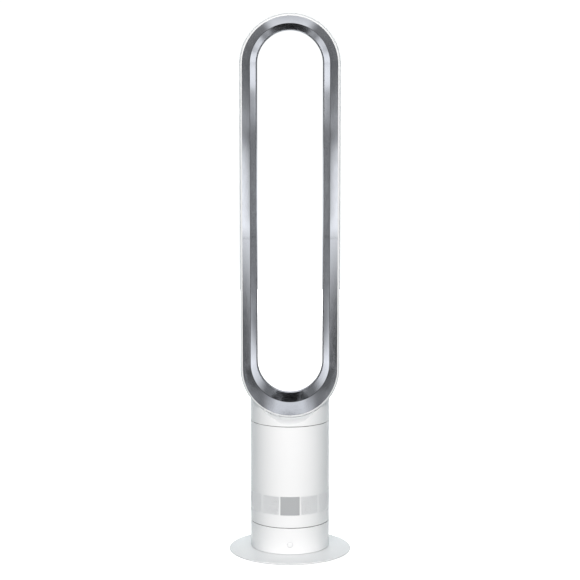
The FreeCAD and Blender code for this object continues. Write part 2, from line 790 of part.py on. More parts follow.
def diffuser():
    """Ring of stationary vanes that straighten the air between the motor bucket and the housing."""
    slices = []
    for share, lean in ((0.0, -16.0), (0.5, -5.0), (1.0, 0.0)):
        z = 183.0 + 19.0 * share
        corners = [(41.4, -0.8), (63.2, -0.8), (63.2, 0.8), (41.4, 0.8)]
        wire = Part.makePolygon([Vector(x, y, z) for x, y in corners + corners[:1]])
        wire.rotate(ORIGIN, UP, lean)
        slices.append(wire)
    vane = Part.makeLoft(slices, True, False)
    inner = tube(42.0, BUCKET_R + 0.05, 183.0, 202.0)
    outer = tube(63.95, 62.6, 183.0, 202.0)
    return joined([inner, outer] + around(vane, VANES))


def fan_foam():
    """Foam sleeve between the fan housing and the body shell."""
    return tube(INNER_R - 0.3, 66.4, FAN_LOW + 3.0, FAN_TOP - 4.0)


def air_guide():
    """Cone that leads air from the fan housing up to the neck's opening."""
    low, high = FAN_TOP, 258.5
    return turned((64.0, low), (66.2, low), (66.2, low + 2), (52.0, high), (50.2, high), (64.0, low + 2))


# ---------------------------------------------------------------- neck and its joint to the body
PORT_HALF_X = 46.0
PORT_FRONT = -40.0
PORT_REAR = 20.0
NOSE_BIG_R = 38.0
NOSE_BEND_DEG = 45.0
NOSE_SMALL_R = 11.5
NOSE_REACH = NOSE_BIG_R - NOSE_SMALL_R
NOSE_START = LOOP_REAR - NOSE_SMALL_R - NOSE_REACH * math.sin(math.radians(NOSE_BEND_DEG))
SHOULDER_R = 38.0
SHOULDER_START = -50.0


def nose_point(offset, degrees):
    """A point of the loop's rear outer curve, moved outwards by offset, as (radius, y)."""
    r = NOSE_BIG_R + offset
    angle = math.radians(degrees)
    return (LOOP_R - NOSE_BIG_R + r * math.cos(angle), NOSE_START + r * math.sin(angle))


def loop_arc_turn(face, full=True):
    """Turns a (radius, y) face about the lower round end's axis."""
    placed = face.copy()
    placed.translate(UP * LOWER_ARC_Z)
    return placed.revolve(UP * LOWER_ARC_Z, BACK, 360 if full else 180)


def shoulder(gap, forward):
    """A point on the neck's front shoulder curve, which leaves the loop's wall at a tangent."""
    return (LOOP_R + gap + SHOULDER_R - math.sqrt(SHOULDER_R ** 2 - forward ** 2), SHOULDER_START - forward)


def saddle(gap):
    """The space above the neck: the loop's outer wall grown by gap, opening out into rounded shoulders."""
    face = outline(
        floor_plane,
        (0, -80.0),
        (108.0 + gap, -80.0),
        shoulder(gap, 24.0),
        (shoulder(gap, 14.0), shoulder(gap, 0.0)),
        (LOOP_R + gap, NOSE_START),
        (nose_point(gap, 17.0), nose_point(gap, 34.0)),
        ((90.6 + gap, 62.5), (100.4 + gap, BODY_R)),
        (108.0 + gap, 80.0),
        (0, 80.0),
    )
    return loop_arc_turn(face)


def port(margin, low, high):
    """The rounded air opening between the neck and the loop."""
    x, front, rear, corner = PORT_HALF_X + margin, PORT_FRONT - margin, PORT_REAR + margin, 10.0 + margin
    cut = corner * (1 - math.sqrt(0.5))
    face = outline(
        floor_plane,
        (x - corner, front),
        ((x - cut, front + cut), (x, front + corner)),
        (x, rear - corner),
        ((x - cut, rear - cut), (x - corner, rear)),
        (corner - x, rear),
        ((cut - x, rear - cut), (-x, rear - corner)),
        (-x, front + corner),
        ((cut - x, front + cut), (corner - x, front)),
    )
    face.translate(UP * low)
    return face.extrude(UP * (high - low))


NECK_GAP = 0.1


def neck_seal():
    """Rubber gasket round the air opening, sunk into the neck."""
    band = saddle(NECK_GAP + 1.2).cut(saddle(0.0))
    frame = port(2.6, 250.0, 300.0).cut(port(0.4, 249.0, 301.0))
    return band.common(frame)


def nozzle_neck():
    """White neck: continues the body's cylinder and cradles the loop's lower end."""
    outer = turned(
        (0, NECK_BOTTOM),
        (BODY_R - 0.6, NECK_BOTTOM),
        ((BODY_R - 0.17, NECK_BOTTOM + 0.17), (BODY_R, NECK_BOTTOM + 0.6)),
        (BODY_R, NECK_TOP),
        (0, NECK_TOP),
    )
    hollow = post(INNER_R, NECK_BOTTOM - 1, NECK_TOP).cut(saddle(NECK_GAP + WALL))
    neck = outer.cut(saddle(NECK_GAP)).cut(hollow)
    for hole in neck_screw_places(post(1.6, -100.0, -90.0)):
        neck = neck.cut(hole)
    return neck.cut(port(0.0, 245.0, 305.0)).cut(neck_seal())


def neck_screw_places(shape):
    """Copies of a shape made below the loop's lower centre, leaned out to the four screw positions."""
    copies = []
    for degrees in (-34.5, 34.5):
        for y in (-24.0, 4.0):
            copy = shape.copy()
            copy.rotate(ORIGIN, BACK, degrees)
            copy.translate(Vector(0, y, LOWER_ARC_Z))
            copies.append(copy)
    return copies


def neck_screws():
    return Part.makeCompound(neck_screw_places(screw(0, 0, -(LOOP_R + NECK_GAP + WALL), 5.5)))


def neck_spigot():
    """Ring inside the joint of neck and body shell, with four bayonet lugs."""
    ring = tube(INNER_R - 0.1, 69.0, 240.0, 262.0)
    lug = pie(69.2, 66.6, 242.0, 245.0, 0, 9.0)
    return joined([ring] + around(lug, 4, 45.0)).cut(saddle(NECK_GAP + WALL + 0.1))


# ---------------------------------------------------------------- loop
SHELL_T = 1.7
FRONT_ROUND_R = 8.2
FRONT_ROUND_DEG = 64.0
FRONT_ROUND_Y = LOOP_FRONT + FRONT_ROUND_R * math.sin(math.radians(FRONT_ROUND_DEG))
BAND_FRONT = (87.2, -54.7)
BAND_REAR = (74.25, 5.0)
BAND_T = 1.2
RAMP_FRONT = (74.15, 5.2)
RAMP_T = 1.5
RAMP_NOSE = (67.8, 39.8)
RAMP_NOSE_R = 4.5
LIP_END = 38.5
LIP_T = 1.3


def round_loop(face):
    """Carries a (radius, y) face round the whole loop: two straights and two half turns."""
    lower = face.copy()
    lower.translate(UP * LOWER_ARC_Z)
    upper = face.copy()
    upper.translate(UP * UPPER_ARC_Z)
    right = lower.extrude(UP * (UPPER_ARC_Z - LOWER_ARC_Z))
    left = right.mirror(ORIGIN, Vector(1, 0, 0))
    top = upper.revolve(UP * UPPER_ARC_Z, BACK * -1, 180)
    bottom = lower.revolve(UP * LOWER_ARC_Z, BACK, 180)
    return joined([right, top, left, bottom]).removeSplitter()


def along(start, end, distance, offset):
    """A point distance along the line from start to end, moved offset away from the loop's middle."""
    length = math.dist(start, end)
    dr, dy = (end[0] - start[0]) / length, (end[1] - start[1]) / length
    return (start[0] + dr * distance + dy * offset, start[1] + dy * distance - dr * offset)


def front_round(degrees):
    """A point of the outer wall's rounding into the front edge, as (radius, y)."""
    angle = math.radians(degrees)
    return (LOOP_R - FRONT_ROUND_R * (1 - math.cos(angle)), FRONT_ROUND_Y - FRONT_ROUND_R * math.sin(angle))


def nozzle_shell():
    """White outer casing of the loop, open towards the middle, its rear edge curled into the slot's lip."""
    small = NOSE_SMALL_R
    bend = math.radians(NOSE_BEND_DEG)
    centre = (LOOP_R - NOSE_BIG_R + NOSE_REACH * math.cos(bend), LOOP_REAR - small)

    def small_arc(radius, degrees):
        angle = math.radians(degrees)
        return (centre[0] + radius * math.cos(angle), centre[1] + radius * math.sin(angle))

    turn_end = 180.0
    turn_middle = (NOSE_BEND_DEG + turn_end) / 2
    lip_inner = small_arc(small, turn_end)
    lip_outer = small_arc(small - SHELL_T, turn_end)
    bead = along(BAND_FRONT, BAND_REAR, BAND_T, BAND_T + 0.03)
    bead_back = along(BAND_FRONT, BAND_REAR, 7.0, BAND_T + 0.03)
    face = outline(
        floor_plane,
        along(BAND_FRONT, BAND_REAR, 0.0, 0.12),
        front_round(FRONT_ROUND_DEG),
        (front_round(FRONT_ROUND_DEG / 2), front_round(0)),
        (LOOP_R, NOSE_START),
        (nose_point(0, NOSE_BEND_DEG / 2), nose_point(0, NOSE_BEND_DEG)),
        (small_arc(small, turn_middle), lip_inner),
        (lip_inner[0], LIP_END),
        (lip_inner[0] + LIP_T, LIP_END),
        lip_outer,
        (small_arc(small - SHELL_T, turn_middle), small_arc(small - SHELL_T, NOSE_BEND_DEG)),
        (nose_point(-SHELL_T, NOSE_BEND_DEG / 2), nose_point(-SHELL_T, 0)),
        (LOOP_R - SHELL_T, -46.0),
        bead_back,
        bead,
    )
    shell = round_loop(face).cut(port(0.0, 245.0, 285.0))
    for hole in neck_screw_places(post(1.5, -95.0, -88.0)):
        shell = shell.cut(hole)
    return shell


def front_band():
    """Satin metal-finished band at the loop's front, with a flange that the ramp's edge sits on."""
    flange = 7.0
    length = math.dist(BAND_FRONT, BAND_REAR)
    face = outline(
        floor_plane,
        BAND_FRONT,
        BAND_REAR,
        along(BAND_FRONT, BAND_REAR, length, BAND_T * 0.6),
        along(RAMP_FRONT, ramp_tangent(), -0.2, RAMP_T + 0.02),
        along(RAMP_FRONT, ramp_tangent(), flange, RAMP_T + 0.02),
        along(RAMP_FRONT, ramp_tangent(), flange, RAMP_T + 1.2),
        along(BAND_FRONT, BAND_REAR, length - 1.0, BAND_T + 1.6),
        along(BAND_FRONT, BAND_REAR, length - 4.0, BAND_T),
        along(BAND_FRONT, BAND_REAR, BAND_T, BAND_T),
    )
    return round_loop(face)


def ramp_tangent():
    """Where the straight ramp meets its rounded nose."""
    dr, dy = RAMP_NOSE[0] - RAMP_FRONT[0], RAMP_NOSE[1] - RAMP_FRONT[1]
    away = math.hypot(dr, dy)
    heading = math.atan2(dy, dr) + math.asin(RAMP_NOSE_R / away)
    reach = math.sqrt(away ** 2 - RAMP_NOSE_R ** 2)
    return (RAMP_FRONT[0] + reach * math.cos(heading), RAMP_FRONT[1] + reach * math.sin(heading))


def inner_ramp():
    """Satin ramp that the air clings to, with a rounded nose inside the slot."""
    tangent = ramp_tangent()
    inner_r = RAMP_NOSE_R - RAMP_T
    low = math.atan2(tangent[1] - RAMP_NOSE[1], tangent[0] - RAMP_NOSE[0]) % (2 * math.pi)
    high = math.radians(80.0)
    middle = (low + high) / 2

    def nose(radius, angle):
        return (RAMP_NOSE[0] + radius * math.cos(angle), RAMP_NOSE[1] + radius * math.sin(angle))

    face = outline(
        floor_plane,
        RAMP_FRONT,
        tangent,
        (nose(RAMP_NOSE_R, middle), nose(RAMP_NOSE_R, high)),
        nose(inner_r, high),
        (nose(inner_r, middle), nose(inner_r, low)),
        along(RAMP_FRONT, tangent, 0.0, RAMP_T),
    )
    return round_loop(face)


SPACERS_PER_SIDE = 9
SPACERS_PER_END = 5


def slot_spacers(shell, ramp):
    """Thin fins that hold the air slot at an even width."""
    thick = 1.2
    fin = block(61.6, 64.2, 39.0, 42.0, -thick / 2, thick / 2)
    straight = UPPER_ARC_Z - LOWER_ARC_Z
    fins = []
    for i in range(SPACERS_PER_SIDE):
        right = fin.copy()
        right.translate(UP * (LOWER_ARC_Z + straight * (i + 0.5) / SPACERS_PER_SIDE))
        fins += [right, right.mirror(ORIGIN, Vector(1, 0, 0))]
    for centre, sign in ((UPPER_ARC_Z, -1), (LOWER_ARC_Z, 1)):
        for i in range(SPACERS_PER_END):
            turned_fin = fin.copy()
            turned_fin.rotate(ORIGIN, BACK, sign * 180.0 * (i + 0.5) / SPACERS_PER_END)
            turned_fin.translate(UP * centre)
            fins.append(turned_fin)
    return Part.makeCompound([f.cut(shell).cut(ramp) for f in fins])


# ---------------------------------------------------------------- export
def build():
    shell = nozzle_shell()
    ramp = inner_ramp()
    return {
        "base_plate": base_plate(),
        "base_weight": base_weight(),
        "base_cover": base_cover(),
        "rubber_feet": rubber_feet(),
        "base_collar": base_collar(),
        "base_screws": base_screws(),
        "cable_gland": cable_gland(),
        "button_bezel": button_bezel(),
        "button_holder": button_holder(),
        "button_spring": button_spring(),
        "power_button": power_button(),
        "tact_switch": tact_switch(),
        "button_board": button_board(),
        "power_board": power_board(),
        "power_board_parts": power_board_parts(),
        "swivel_deck": swivel_deck(),
        "deck_screws": deck_screws(),
        "stop_pin": stop_pin(),
        "bearing_cage": bearing_cage(),
        "bearing_balls": bearing_balls(),
        "swivel_motor": swivel_motor(),
        "swivel_motor_screws": swivel_motor_screws(),
        "drive_shaft": drive_shaft(),
        "drive_pinion": drive_pinion(),
        "ring_gear": ring_gear(),
        "swivel_plate": swivel_plate(),
        "retaining_ring": retaining_ring(),
        "body_screws": body_screws(),
        "main_board": main_board(),
        "main_board_parts": main_board_parts(),
        "wire_loom": wire_loom(),
        "chamber_floor": chamber_floor(),
        "floor_foam": floor_foam(),
        "body_shell": body_shell(),
        "inlet_grilles": inlet_grilles(),
        "display_lens": display_lens(),
        "display_board": display_board(),
        "display_parts": display_parts(),
        "rubber_mounts": rubber_mounts(),
        "fan_housing": fan_housing(),
        "bellmouth": bellmouth(),
        "impeller": impeller(),
        "motor_shaft": motor_shaft(),
        "rotor_magnet": rotor_magnet(),
        "motor_bucket": motor_bucket(),
        "bucket_cap": bucket_cap(),
        "motor_bearings": motor_bearings(),
        "motor_stator": motor_stator(),
        "motor_coils": motor_coils(),
        "diffuser": diffuser(),
        "fan_foam": fan_foam(),
        "air_guide": air_guide(),
        "neck_seal": neck_seal(),
        "nozzle_neck": nozzle_neck(),
        "neck_spigot": neck_spigot(),
        "neck_screws": neck_screws(),
        "nozzle_shell": shell,
        "front_band": front_band(),
        "inner_ramp": ramp,
        "slot_spacers": slot_spacers(shell, ramp),
    }


os.makedirs("parts", exist_ok=True)
for name, shape in build().items():
    solids = shape.Solids
    print(f"{name:20s} solids {len(solids):3d} volume {shape.Volume:12.1f} valid {shape.isValid()}")
    Part.makeCompound(solids).exportStep(f"parts/{name}.step")
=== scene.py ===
import math

import bmesh
import bpy
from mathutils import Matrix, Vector


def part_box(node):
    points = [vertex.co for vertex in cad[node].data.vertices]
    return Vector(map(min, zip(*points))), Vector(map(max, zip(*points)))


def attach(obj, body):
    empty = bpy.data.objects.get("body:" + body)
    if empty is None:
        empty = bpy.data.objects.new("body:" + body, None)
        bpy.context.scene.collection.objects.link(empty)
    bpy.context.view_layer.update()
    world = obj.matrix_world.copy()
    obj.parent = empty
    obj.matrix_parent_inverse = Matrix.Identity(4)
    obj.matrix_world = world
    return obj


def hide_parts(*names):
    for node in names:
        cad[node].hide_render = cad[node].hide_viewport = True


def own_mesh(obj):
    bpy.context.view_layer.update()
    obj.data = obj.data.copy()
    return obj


# The fan's frame.  Every solid of the fan arrives here in its place, already riding on the body it
# belongs to: the base, the swivelling upper part, the impeller, the drive pinion, the ball cage and
# the power button.
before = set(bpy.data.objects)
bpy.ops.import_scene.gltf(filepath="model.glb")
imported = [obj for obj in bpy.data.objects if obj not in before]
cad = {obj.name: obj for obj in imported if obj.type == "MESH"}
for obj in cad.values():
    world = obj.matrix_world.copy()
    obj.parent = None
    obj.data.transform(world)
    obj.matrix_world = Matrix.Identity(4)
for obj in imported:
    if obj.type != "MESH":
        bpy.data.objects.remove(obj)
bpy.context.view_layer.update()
scene = bpy.context.scene

# ------------------------------------------------------------------ camera
# A long lens a little above the middle of the fan, looking slightly down, straight at its front.
lens = bpy.data.cameras.new("studio_lens")
lens.sensor_width = 36.0
lens.lens = 110.78
lens.clip_end = 100.0
camera = bpy.data.objects.new("studio_camera", lens)
camera.location = (0.0, -3.2978, 0.9530)
camera.rotation_euler = (math.radians(90.0 - 7.875), 0.0, 0.0)
scene.collection.objects.link(camera)
scene.camera = camera

# ------------------------------------------------------------------ studio
# A plain pale floor that curls up far away into a pale wall, so that no horizon shows, lit from within.
# The main softbox stands in front, above the lens, a weak one overhead, one behind low down, and one behind
# at each side for the edges of round parts.  A dim blue sky fills the shadows.
scene.view_settings.view_transform = "Standard"
sky = bpy.data.worlds.new("dim_sky")
sky.use_nodes = True
sky.node_tree.nodes["Background"].inputs["Color"].default_value = (0.50, 0.88, 1.0, 1.0)
sky.node_tree.nodes["Background"].inputs["Strength"].default_value = 0.12
scene.world = sky

paper = bpy.data.materials.new("pale_paper")
paper.use_nodes = True
paper_shader = paper.node_tree.nodes["Principled BSDF"]
paper_shader.inputs["Base Color"].default_value = (0.50, 0.50, 0.50, 1.0)
paper_shader.inputs["Roughness"].default_value = 0.9
paper_shader.inputs["Specular IOR Level"].default_value = 0.0
paper_shader.inputs["Emission Color"].default_value = (1.0, 1.0, 1.0, 1.0)
paper_shader.inputs["Emission Strength"].default_value = 0.99

sweep_mesh = bpy.data.meshes.new("paper_sweep")
sweep_bm = bmesh.new()
rings = [(r, 0.0) for r in (0.5, 2.0, 6.0, 11.0)]
for i in range(1, 10):
    turn = math.radians(10.0 * i)
    rings.append((11.0 + 4.0 * math.sin(turn), 4.0 - 4.0 * math.cos(turn)))
rings.append((15.0, 9.0))
centre = sweep_bm.verts.new((0.0, 0.0, 0.0))
rows = []
for r, z in rings:
    row = [(r * math.cos(math.tau * i / 96), r * math.sin(math.tau * i / 96), z) for i in range(96)]
    rows.append([sweep_bm.verts.new(p) for p in row])
for i in range(96):
    j = (i + 1) % 96
    sweep_bm.faces.new((centre, rows[0][i], rows[0][j]))
    for inner, outer in zip(rows, rows[1:]):
        sweep_bm.faces.new((inner[i], outer[i], outer[j], inner[j]))
for face in sweep_bm.faces:
    face.smooth = True
sweep_bm.to_mesh(sweep_mesh)
sweep_bm.free()
sweep_mesh.materials.append(paper)
floor = bpy.data.objects.new("paper_sweep", sweep_mesh)
scene.collection.objects.link(floor)
floor.visible_diffuse = False

softbox = bpy.data.lights.new("front_softbox", "AREA")
softbox.shape = "RECTANGLE"
softbox.size = 2.3
softbox.size_y = 2.4
softbox.energy = 189.0
softbox.color = (1.0, 0.925, 0.895)
softbox_stand = bpy.data.objects.new("front_softbox", softbox)
softbox_stand.location = (0.0, -3.5, 1.7)
softbox_aim = Vector((0.0, 0.0, 0.5)) - softbox_stand.location
softbox_stand.rotation_euler = softbox_aim.to_track_quat("-Z", "Y").to_euler()
softbox_stand.visible_glossy = False
scene.collection.objects.link(softbox_stand)

overhead = bpy.data.lights.new("overhead_softbox", "AREA")
overhead.shape = "RECTANGLE"
overhead.size = 1.6
overhead.size_y = 1.6
overhead.energy = 7.0
overhead.color = (0.90, 0.96, 1.0)
overhead_stand = bpy.data.objects.new("overhead_softbox", overhead)
overhead_stand.location = (0.0, -0.2, 3.4)
scene.collection.objects.link(overhead_stand)

rear = bpy.data.lights.new("rear_softbox", "AREA")
rear.shape = "RECTANGLE"
rear.size = 2.4
rear.size_y = 1.6
rear.energy = 120.0
rear_stand = bpy.data.objects.new("rear_softbox", rear)
rear_stand.location = (0.0, 3.6, 0.55)
rear_aim = Vector((0.0, 0.0, 0.5)) - rear_stand.location
rear_stand.rotation_euler = rear_aim.to_track_quat("-Z", "Y").to_euler()
rear_stand.visible_camera = rear_stand.visible_glossy = False
scene.collection.objects.link(rear_stand)

for side, label in ((-1.0, "left"), (1.0, "right")):
    kicker = bpy.data.lights.new("back_softbox_" + label, "AREA")
    kicker.shape = "RECTANGLE"
    kicker.size = 0.9
    kicker.size_y = 1.6
    kicker.energy = 20.0
    kicker.color = (0.90, 0.96, 1.0)
    kicker_stand = bpy.data.objects.new("back_softbox_" + label, kicker)
    kicker_stand.location = (1.65 * side, 2.8, 0.9)
    kicker_aim = Vector((0.0, 0.0, 0.5)) - kicker_stand.location
    kicker_stand.rotation_euler = kicker_aim.to_track_quat("-Z", "Y").to_euler()
    kicker_stand.visible_camera = kicker_stand.visible_glossy = False
    scene.collection.objects.link(kicker_stand)

# A painted reflector stands behind the loop for the metal to mirror, seen by glossy surfaces only.  Its
# middle column and the three columns at each side of it have their own dark and bright heights.
REFLECTOR_Y = 0.35
REFLECTOR_LOW, REFLECTOR_TOP = 0.22, 1.02
COLUMNS = (
    ((0.27, 0.68), (0.535, 0.89), (0.56, 0.92), (0.585, 0.50), (0.62, 0.0), (0.75, 0.0), (0.785, 0.40),
     (0.815, 0.75)),
    ((0.27, 0.06), (0.34, 0.07), (0.40, 0.13), (0.45, 0.28), (0.50, 0.55), (0.555, 0.88), (0.61, 1.38),
     (0.67, 1.34), (0.77, 0.42), (0.81, 0.24), (0.845, 0.20), (0.865, 0.16), (0.91, 0.13)),
    ((0.28, 1.20), (0.33, 0.90), (0.40, 0.34), (0.46, 0.22), (0.72, 0.20), (0.765, 0.30), (0.79, 0.80),
     (0.825, 1.30), (0.86, 1.40)),
    ((0.30, 1.20), (0.41, 0.86), (0.46, 0.52), (0.50, 0.32), (0.54, 0.18), (0.74, 0.20), (0.80, 0.34),
     (0.84, 0.42), (0.865, 1.0), (0.89, 1.1), (0.91, 0.86)),
)
COLUMN_EDGES = (
    (((0.50, 0.090), (0.745, 0.096), (0.77, 0.094), (0.80, 0.072), (0.83, 0.047)), 0.015),
    (((0.29, 0.150), (0.315, 0.166), (0.37, 0.176), (0.42, 0.158), (0.48, 0.148), (0.76, 0.142),
      (0.79, 0.122), (0.84, 0.136), (0.87, 0.142)), 0.011),
    (((0.36, 0.205), (0.68, 0.205), (0.76, 0.160), (0.84, 0.158)), 0.016),
)

columns_paint = bpy.data.materials.new("reflector_columns")
columns_paint.use_nodes = True
tree = columns_paint.node_tree
tree.nodes.remove(tree.nodes["Principled BSDF"])
place = tree.nodes.new("ShaderNodeTexCoord")
split = tree.nodes.new("ShaderNodeSeparateXYZ")
tree.links.new(place.outputs["Object"], split.inputs["Vector"])
aside = tree.nodes.new("ShaderNodeMath")
aside.operation = "ABSOLUTE"
tree.links.new(split.outputs["X"], aside.inputs[0])
height = tree.nodes.new("ShaderNodeMapRange")
height.inputs["From Min"].default_value = REFLECTOR_LOW
height.inputs["From Max"].default_value = REFLECTOR_TOP
tree.links.new(split.outputs["Z"], height.inputs["Value"])


def up_height(stops):
    """A value that changes smoothly up the reflector's height, up to 2."""
    fade = tree.nodes.new("ShaderNodeFloatCurve")
    tree.links.new(height.outputs["Result"], fade.inputs["Value"])
    places = [((z - REFLECTOR_LOW) / (REFLECTOR_TOP - REFLECTOR_LOW), level / 2) for z, level in stops]
    line = fade.mapping.curves[0]
    line.points[0].location, line.points[1].location = places[0], places[-1]
    for spot in places[1:-1]:
        line.points.new(*spot)
    for point in line.points:
        point.handle_type = "AUTO_CLAMPED"
    fade.mapping.update()
    doubled = tree.nodes.new("ShaderNodeMath")
    doubled.operation = "MULTIPLY"
    doubled.inputs[1].default_value = 2.0
    tree.links.new(fade.outputs["Value"], doubled.inputs[0])
    return doubled.outputs["Value"]


brightness = up_height(COLUMNS[0])
for column, (edge_stops, blur) in zip(COLUMNS[1:], COLUMN_EDGES):
    past = tree.nodes.new("ShaderNodeMath")
    past.operation = "SUBTRACT"
    tree.links.new(aside.outputs["Value"], past.inputs[0])
    tree.links.new(up_height(edge_stops), past.inputs[1])
    across = tree.nodes.new("ShaderNodeMapRange")
    across.interpolation_type = "SMOOTHSTEP"
    across.inputs["From Min"].default_value = -blur
    across.inputs["From Max"].default_value = blur
    tree.links.new(past.outputs["Value"], across.inputs["Value"])
    blend = tree.nodes.new("ShaderNodeMix")
    tree.links.new(across.outputs["Result"], blend.inputs["Factor"])
    tree.links.new(brightness, blend.inputs["A"])
    tree.links.new(up_height(column), blend.inputs["B"])
    brightness = blend.outputs["Result"]
shine = tree.nodes.new("ShaderNodeEmission")
shine.inputs["Color"].default_value = (0.955, 0.97, 1.0, 1.0)
tree.links.new(brightness, shine.inputs["Strength"])
tree.links.new(shine.outputs["Emission"], tree.nodes["Material Output"].inputs["Surface"])


def mirrored_board(name, corners, material):
    """A flat board that only glossy surfaces see, from its four corners."""
    mesh = bpy.data.meshes.new(name)
    mesh.from_pydata(corners, [], [(0, 1, 2, 3)])
    mesh.materials.append(material)
    made = bpy.data.objects.new(name, mesh)
    scene.collection.objects.link(made)
    made.visible_camera = made.visible_diffuse = made.visible_transmission = made.visible_shadow = False


plan = ((-0.27, REFLECTOR_LOW), (0.27, REFLECTOR_LOW), (0.27, REFLECTOR_TOP), (-0.27, REFLECTOR_TOP))
mirrored_board("reflector", [(x, REFLECTOR_Y, z) for x, z in plan], columns_paint)
flag_black = bpy.data.materials.new("flag_black")
flag_black.use_nodes = True
flag_black.node_tree.nodes["Principled BSDF"].inputs["Base Color"].default_value = (0.004, 0.004, 0.004, 1.0)
flag_black.node_tree.nodes["Principled BSDF"].inputs["Roughness"].default_value = 1.0
flag_black.node_tree.nodes["Principled BSDF"].inputs["Specular IOR Level"].default_value = 0.0
plan = ((-0.148, 0.262), (0.148, 0.262), (0.148, 0.328), (-0.148, 0.328))
FLAG_HEIGHT, FLAG_FALL = 0.589, 0.107
mirrored_board("reflector_flag", [(x, y, FLAG_HEIGHT - FLAG_FALL * y) for x, y in plan], flag_black)


# ------------------------------------------------------------------ white housings
# Neck, body, collar and base plate are gloss white injection mouldings.  The neck plugs onto the body
# with a ring, the body is screwed to the swivel plate, and the collar is screwed to the plate.
def moulded(name, colour, roughness, cloud=0.04, grain=0.0004, depth=0.000012, coat=0.0):
    """Moulded plastic: slightly uneven gloss and tint over a fine orange-peel surface."""
    material = bpy.data.materials.new(name)
    material.use_nodes = True
    nodes = material.node_tree.nodes
    links = material.node_tree.links
    shader = nodes["Principled BSDF"]
    shader.inputs["Coat Weight"].default_value = coat
    shader.inputs["Coat Roughness"].default_value = 0.08
    coords = nodes.new("ShaderNodeTexCoord")
    clouds = nodes.new("ShaderNodeTexNoise")
    clouds.inputs["Scale"].default_value = 24.0
    clouds.inputs["Detail"].default_value = 4.0
    links.new(coords.outputs["Object"], clouds.inputs["Vector"])
    spread = nodes.new("ShaderNodeMapRange")
    spread.inputs["From Min"].default_value = 0.3
    spread.inputs["From Max"].default_value = 0.7
    spread.inputs["To Min"].default_value = max(0.02, roughness - cloud)
    spread.inputs["To Max"].default_value = roughness + cloud
    links.new(clouds.outputs["Fac"], spread.inputs["Value"])
    links.new(spread.outputs["Result"], shader.inputs["Roughness"])
    tint = nodes.new("ShaderNodeMix")
    tint.data_type = "RGBA"
    tint.inputs["A"].default_value = (*[c * 0.975 for c in colour], 1.0)
    tint.inputs["B"].default_value = (*colour, 1.0)
    links.new(clouds.outputs["Fac"], tint.inputs["Factor"])
    links.new(tint.outputs["Result"], shader.inputs["Base Color"])
    peel = nodes.new("ShaderNodeTexNoise")
    peel.inputs["Scale"].default_value = 1.0 / grain
    peel.inputs["Detail"].default_value = 2.0
    links.new(coords.outputs["Object"], peel.inputs["Vector"])
    bump = nodes.new("ShaderNodeBump")
    bump.inputs["Strength"].default_value = 0.5
    bump.inputs["Distance"].default_value = depth
    links.new(peel.outputs["Fac"], bump.inputs["Height"])
    links.new(bump.outputs["Normal"], shader.inputs["Normal"])
    return material


def dress(material, *names):
    """Puts a material on solids that keep their modelled shape."""
    for name in names:
        for place in cad[name].material_slots:
            place.material = material


white_gloss = moulded("white_gloss", (0.80, 0.825, 0.84), 0.2, grain=0.0016, depth=0.000018)
dress(white_gloss, "nozzle_neck", "body_shell", "base_collar", "base_plate", "power_button")

# ------------------------------------------------------------------ loop
# The loop is three mouldings carried round one path: a white casing, and a front band and an inner ramp
# sprayed satin nickel, as the inner face of the casing's lip is.  They are welded along their edges, with
# a thin black strip in the crease that is painted shade, and leave an air slot at the rear between the lip
# and the ramp's nose.
loop_low, loop_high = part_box("nozzle_shell")
END_RADIUS = loop_high.x
UPPER_CENTRE = loop_high.z - END_RADIUS
LOWER_CENTRE = loop_low.z + END_RADIUS
PATH_RADIUS = 0.075
STEPS_ROUND = 152
MM = 0.001


def arc(cx, cy, radius, first, last, steps):
    """Points of a circular arc in millimetres, angles in degrees."""
    turns = [math.radians(first + (last - first) * i / steps) for i in range(steps + 1)]
    return [(cx + radius * math.cos(a), cy + radius * math.sin(a)) for a in turns]


def eased(points, radius, steps=4):
    """Rounds each corner of a closed outline."""
    made = []
    for i, here in enumerate(points):
        before = Vector(points[i - 1]) - Vector(here)
        after = Vector(points[(i + 1) % len(points)]) - Vector(here)
        reach = min(radius, before.length * 0.45, after.length * 0.45)
        start = Vector(here) + before.normalized() * reach
        end = Vector(here) + after.normalized() * reach
        for k in range(steps + 1):
            t = k / steps
            made.append(tuple(start * (1 - t) ** 2 + Vector(here) * 2 * t * (1 - t) + end * t ** 2))
    return made


def along(start, end, distance, offset):
    """A point distance along a line, moved offset away from the loop's middle."""
    way = (Vector(end) - Vector(start)).normalized()
    return tuple(Vector(start) + way * distance + Vector((way.y, -way.x)) * offset)


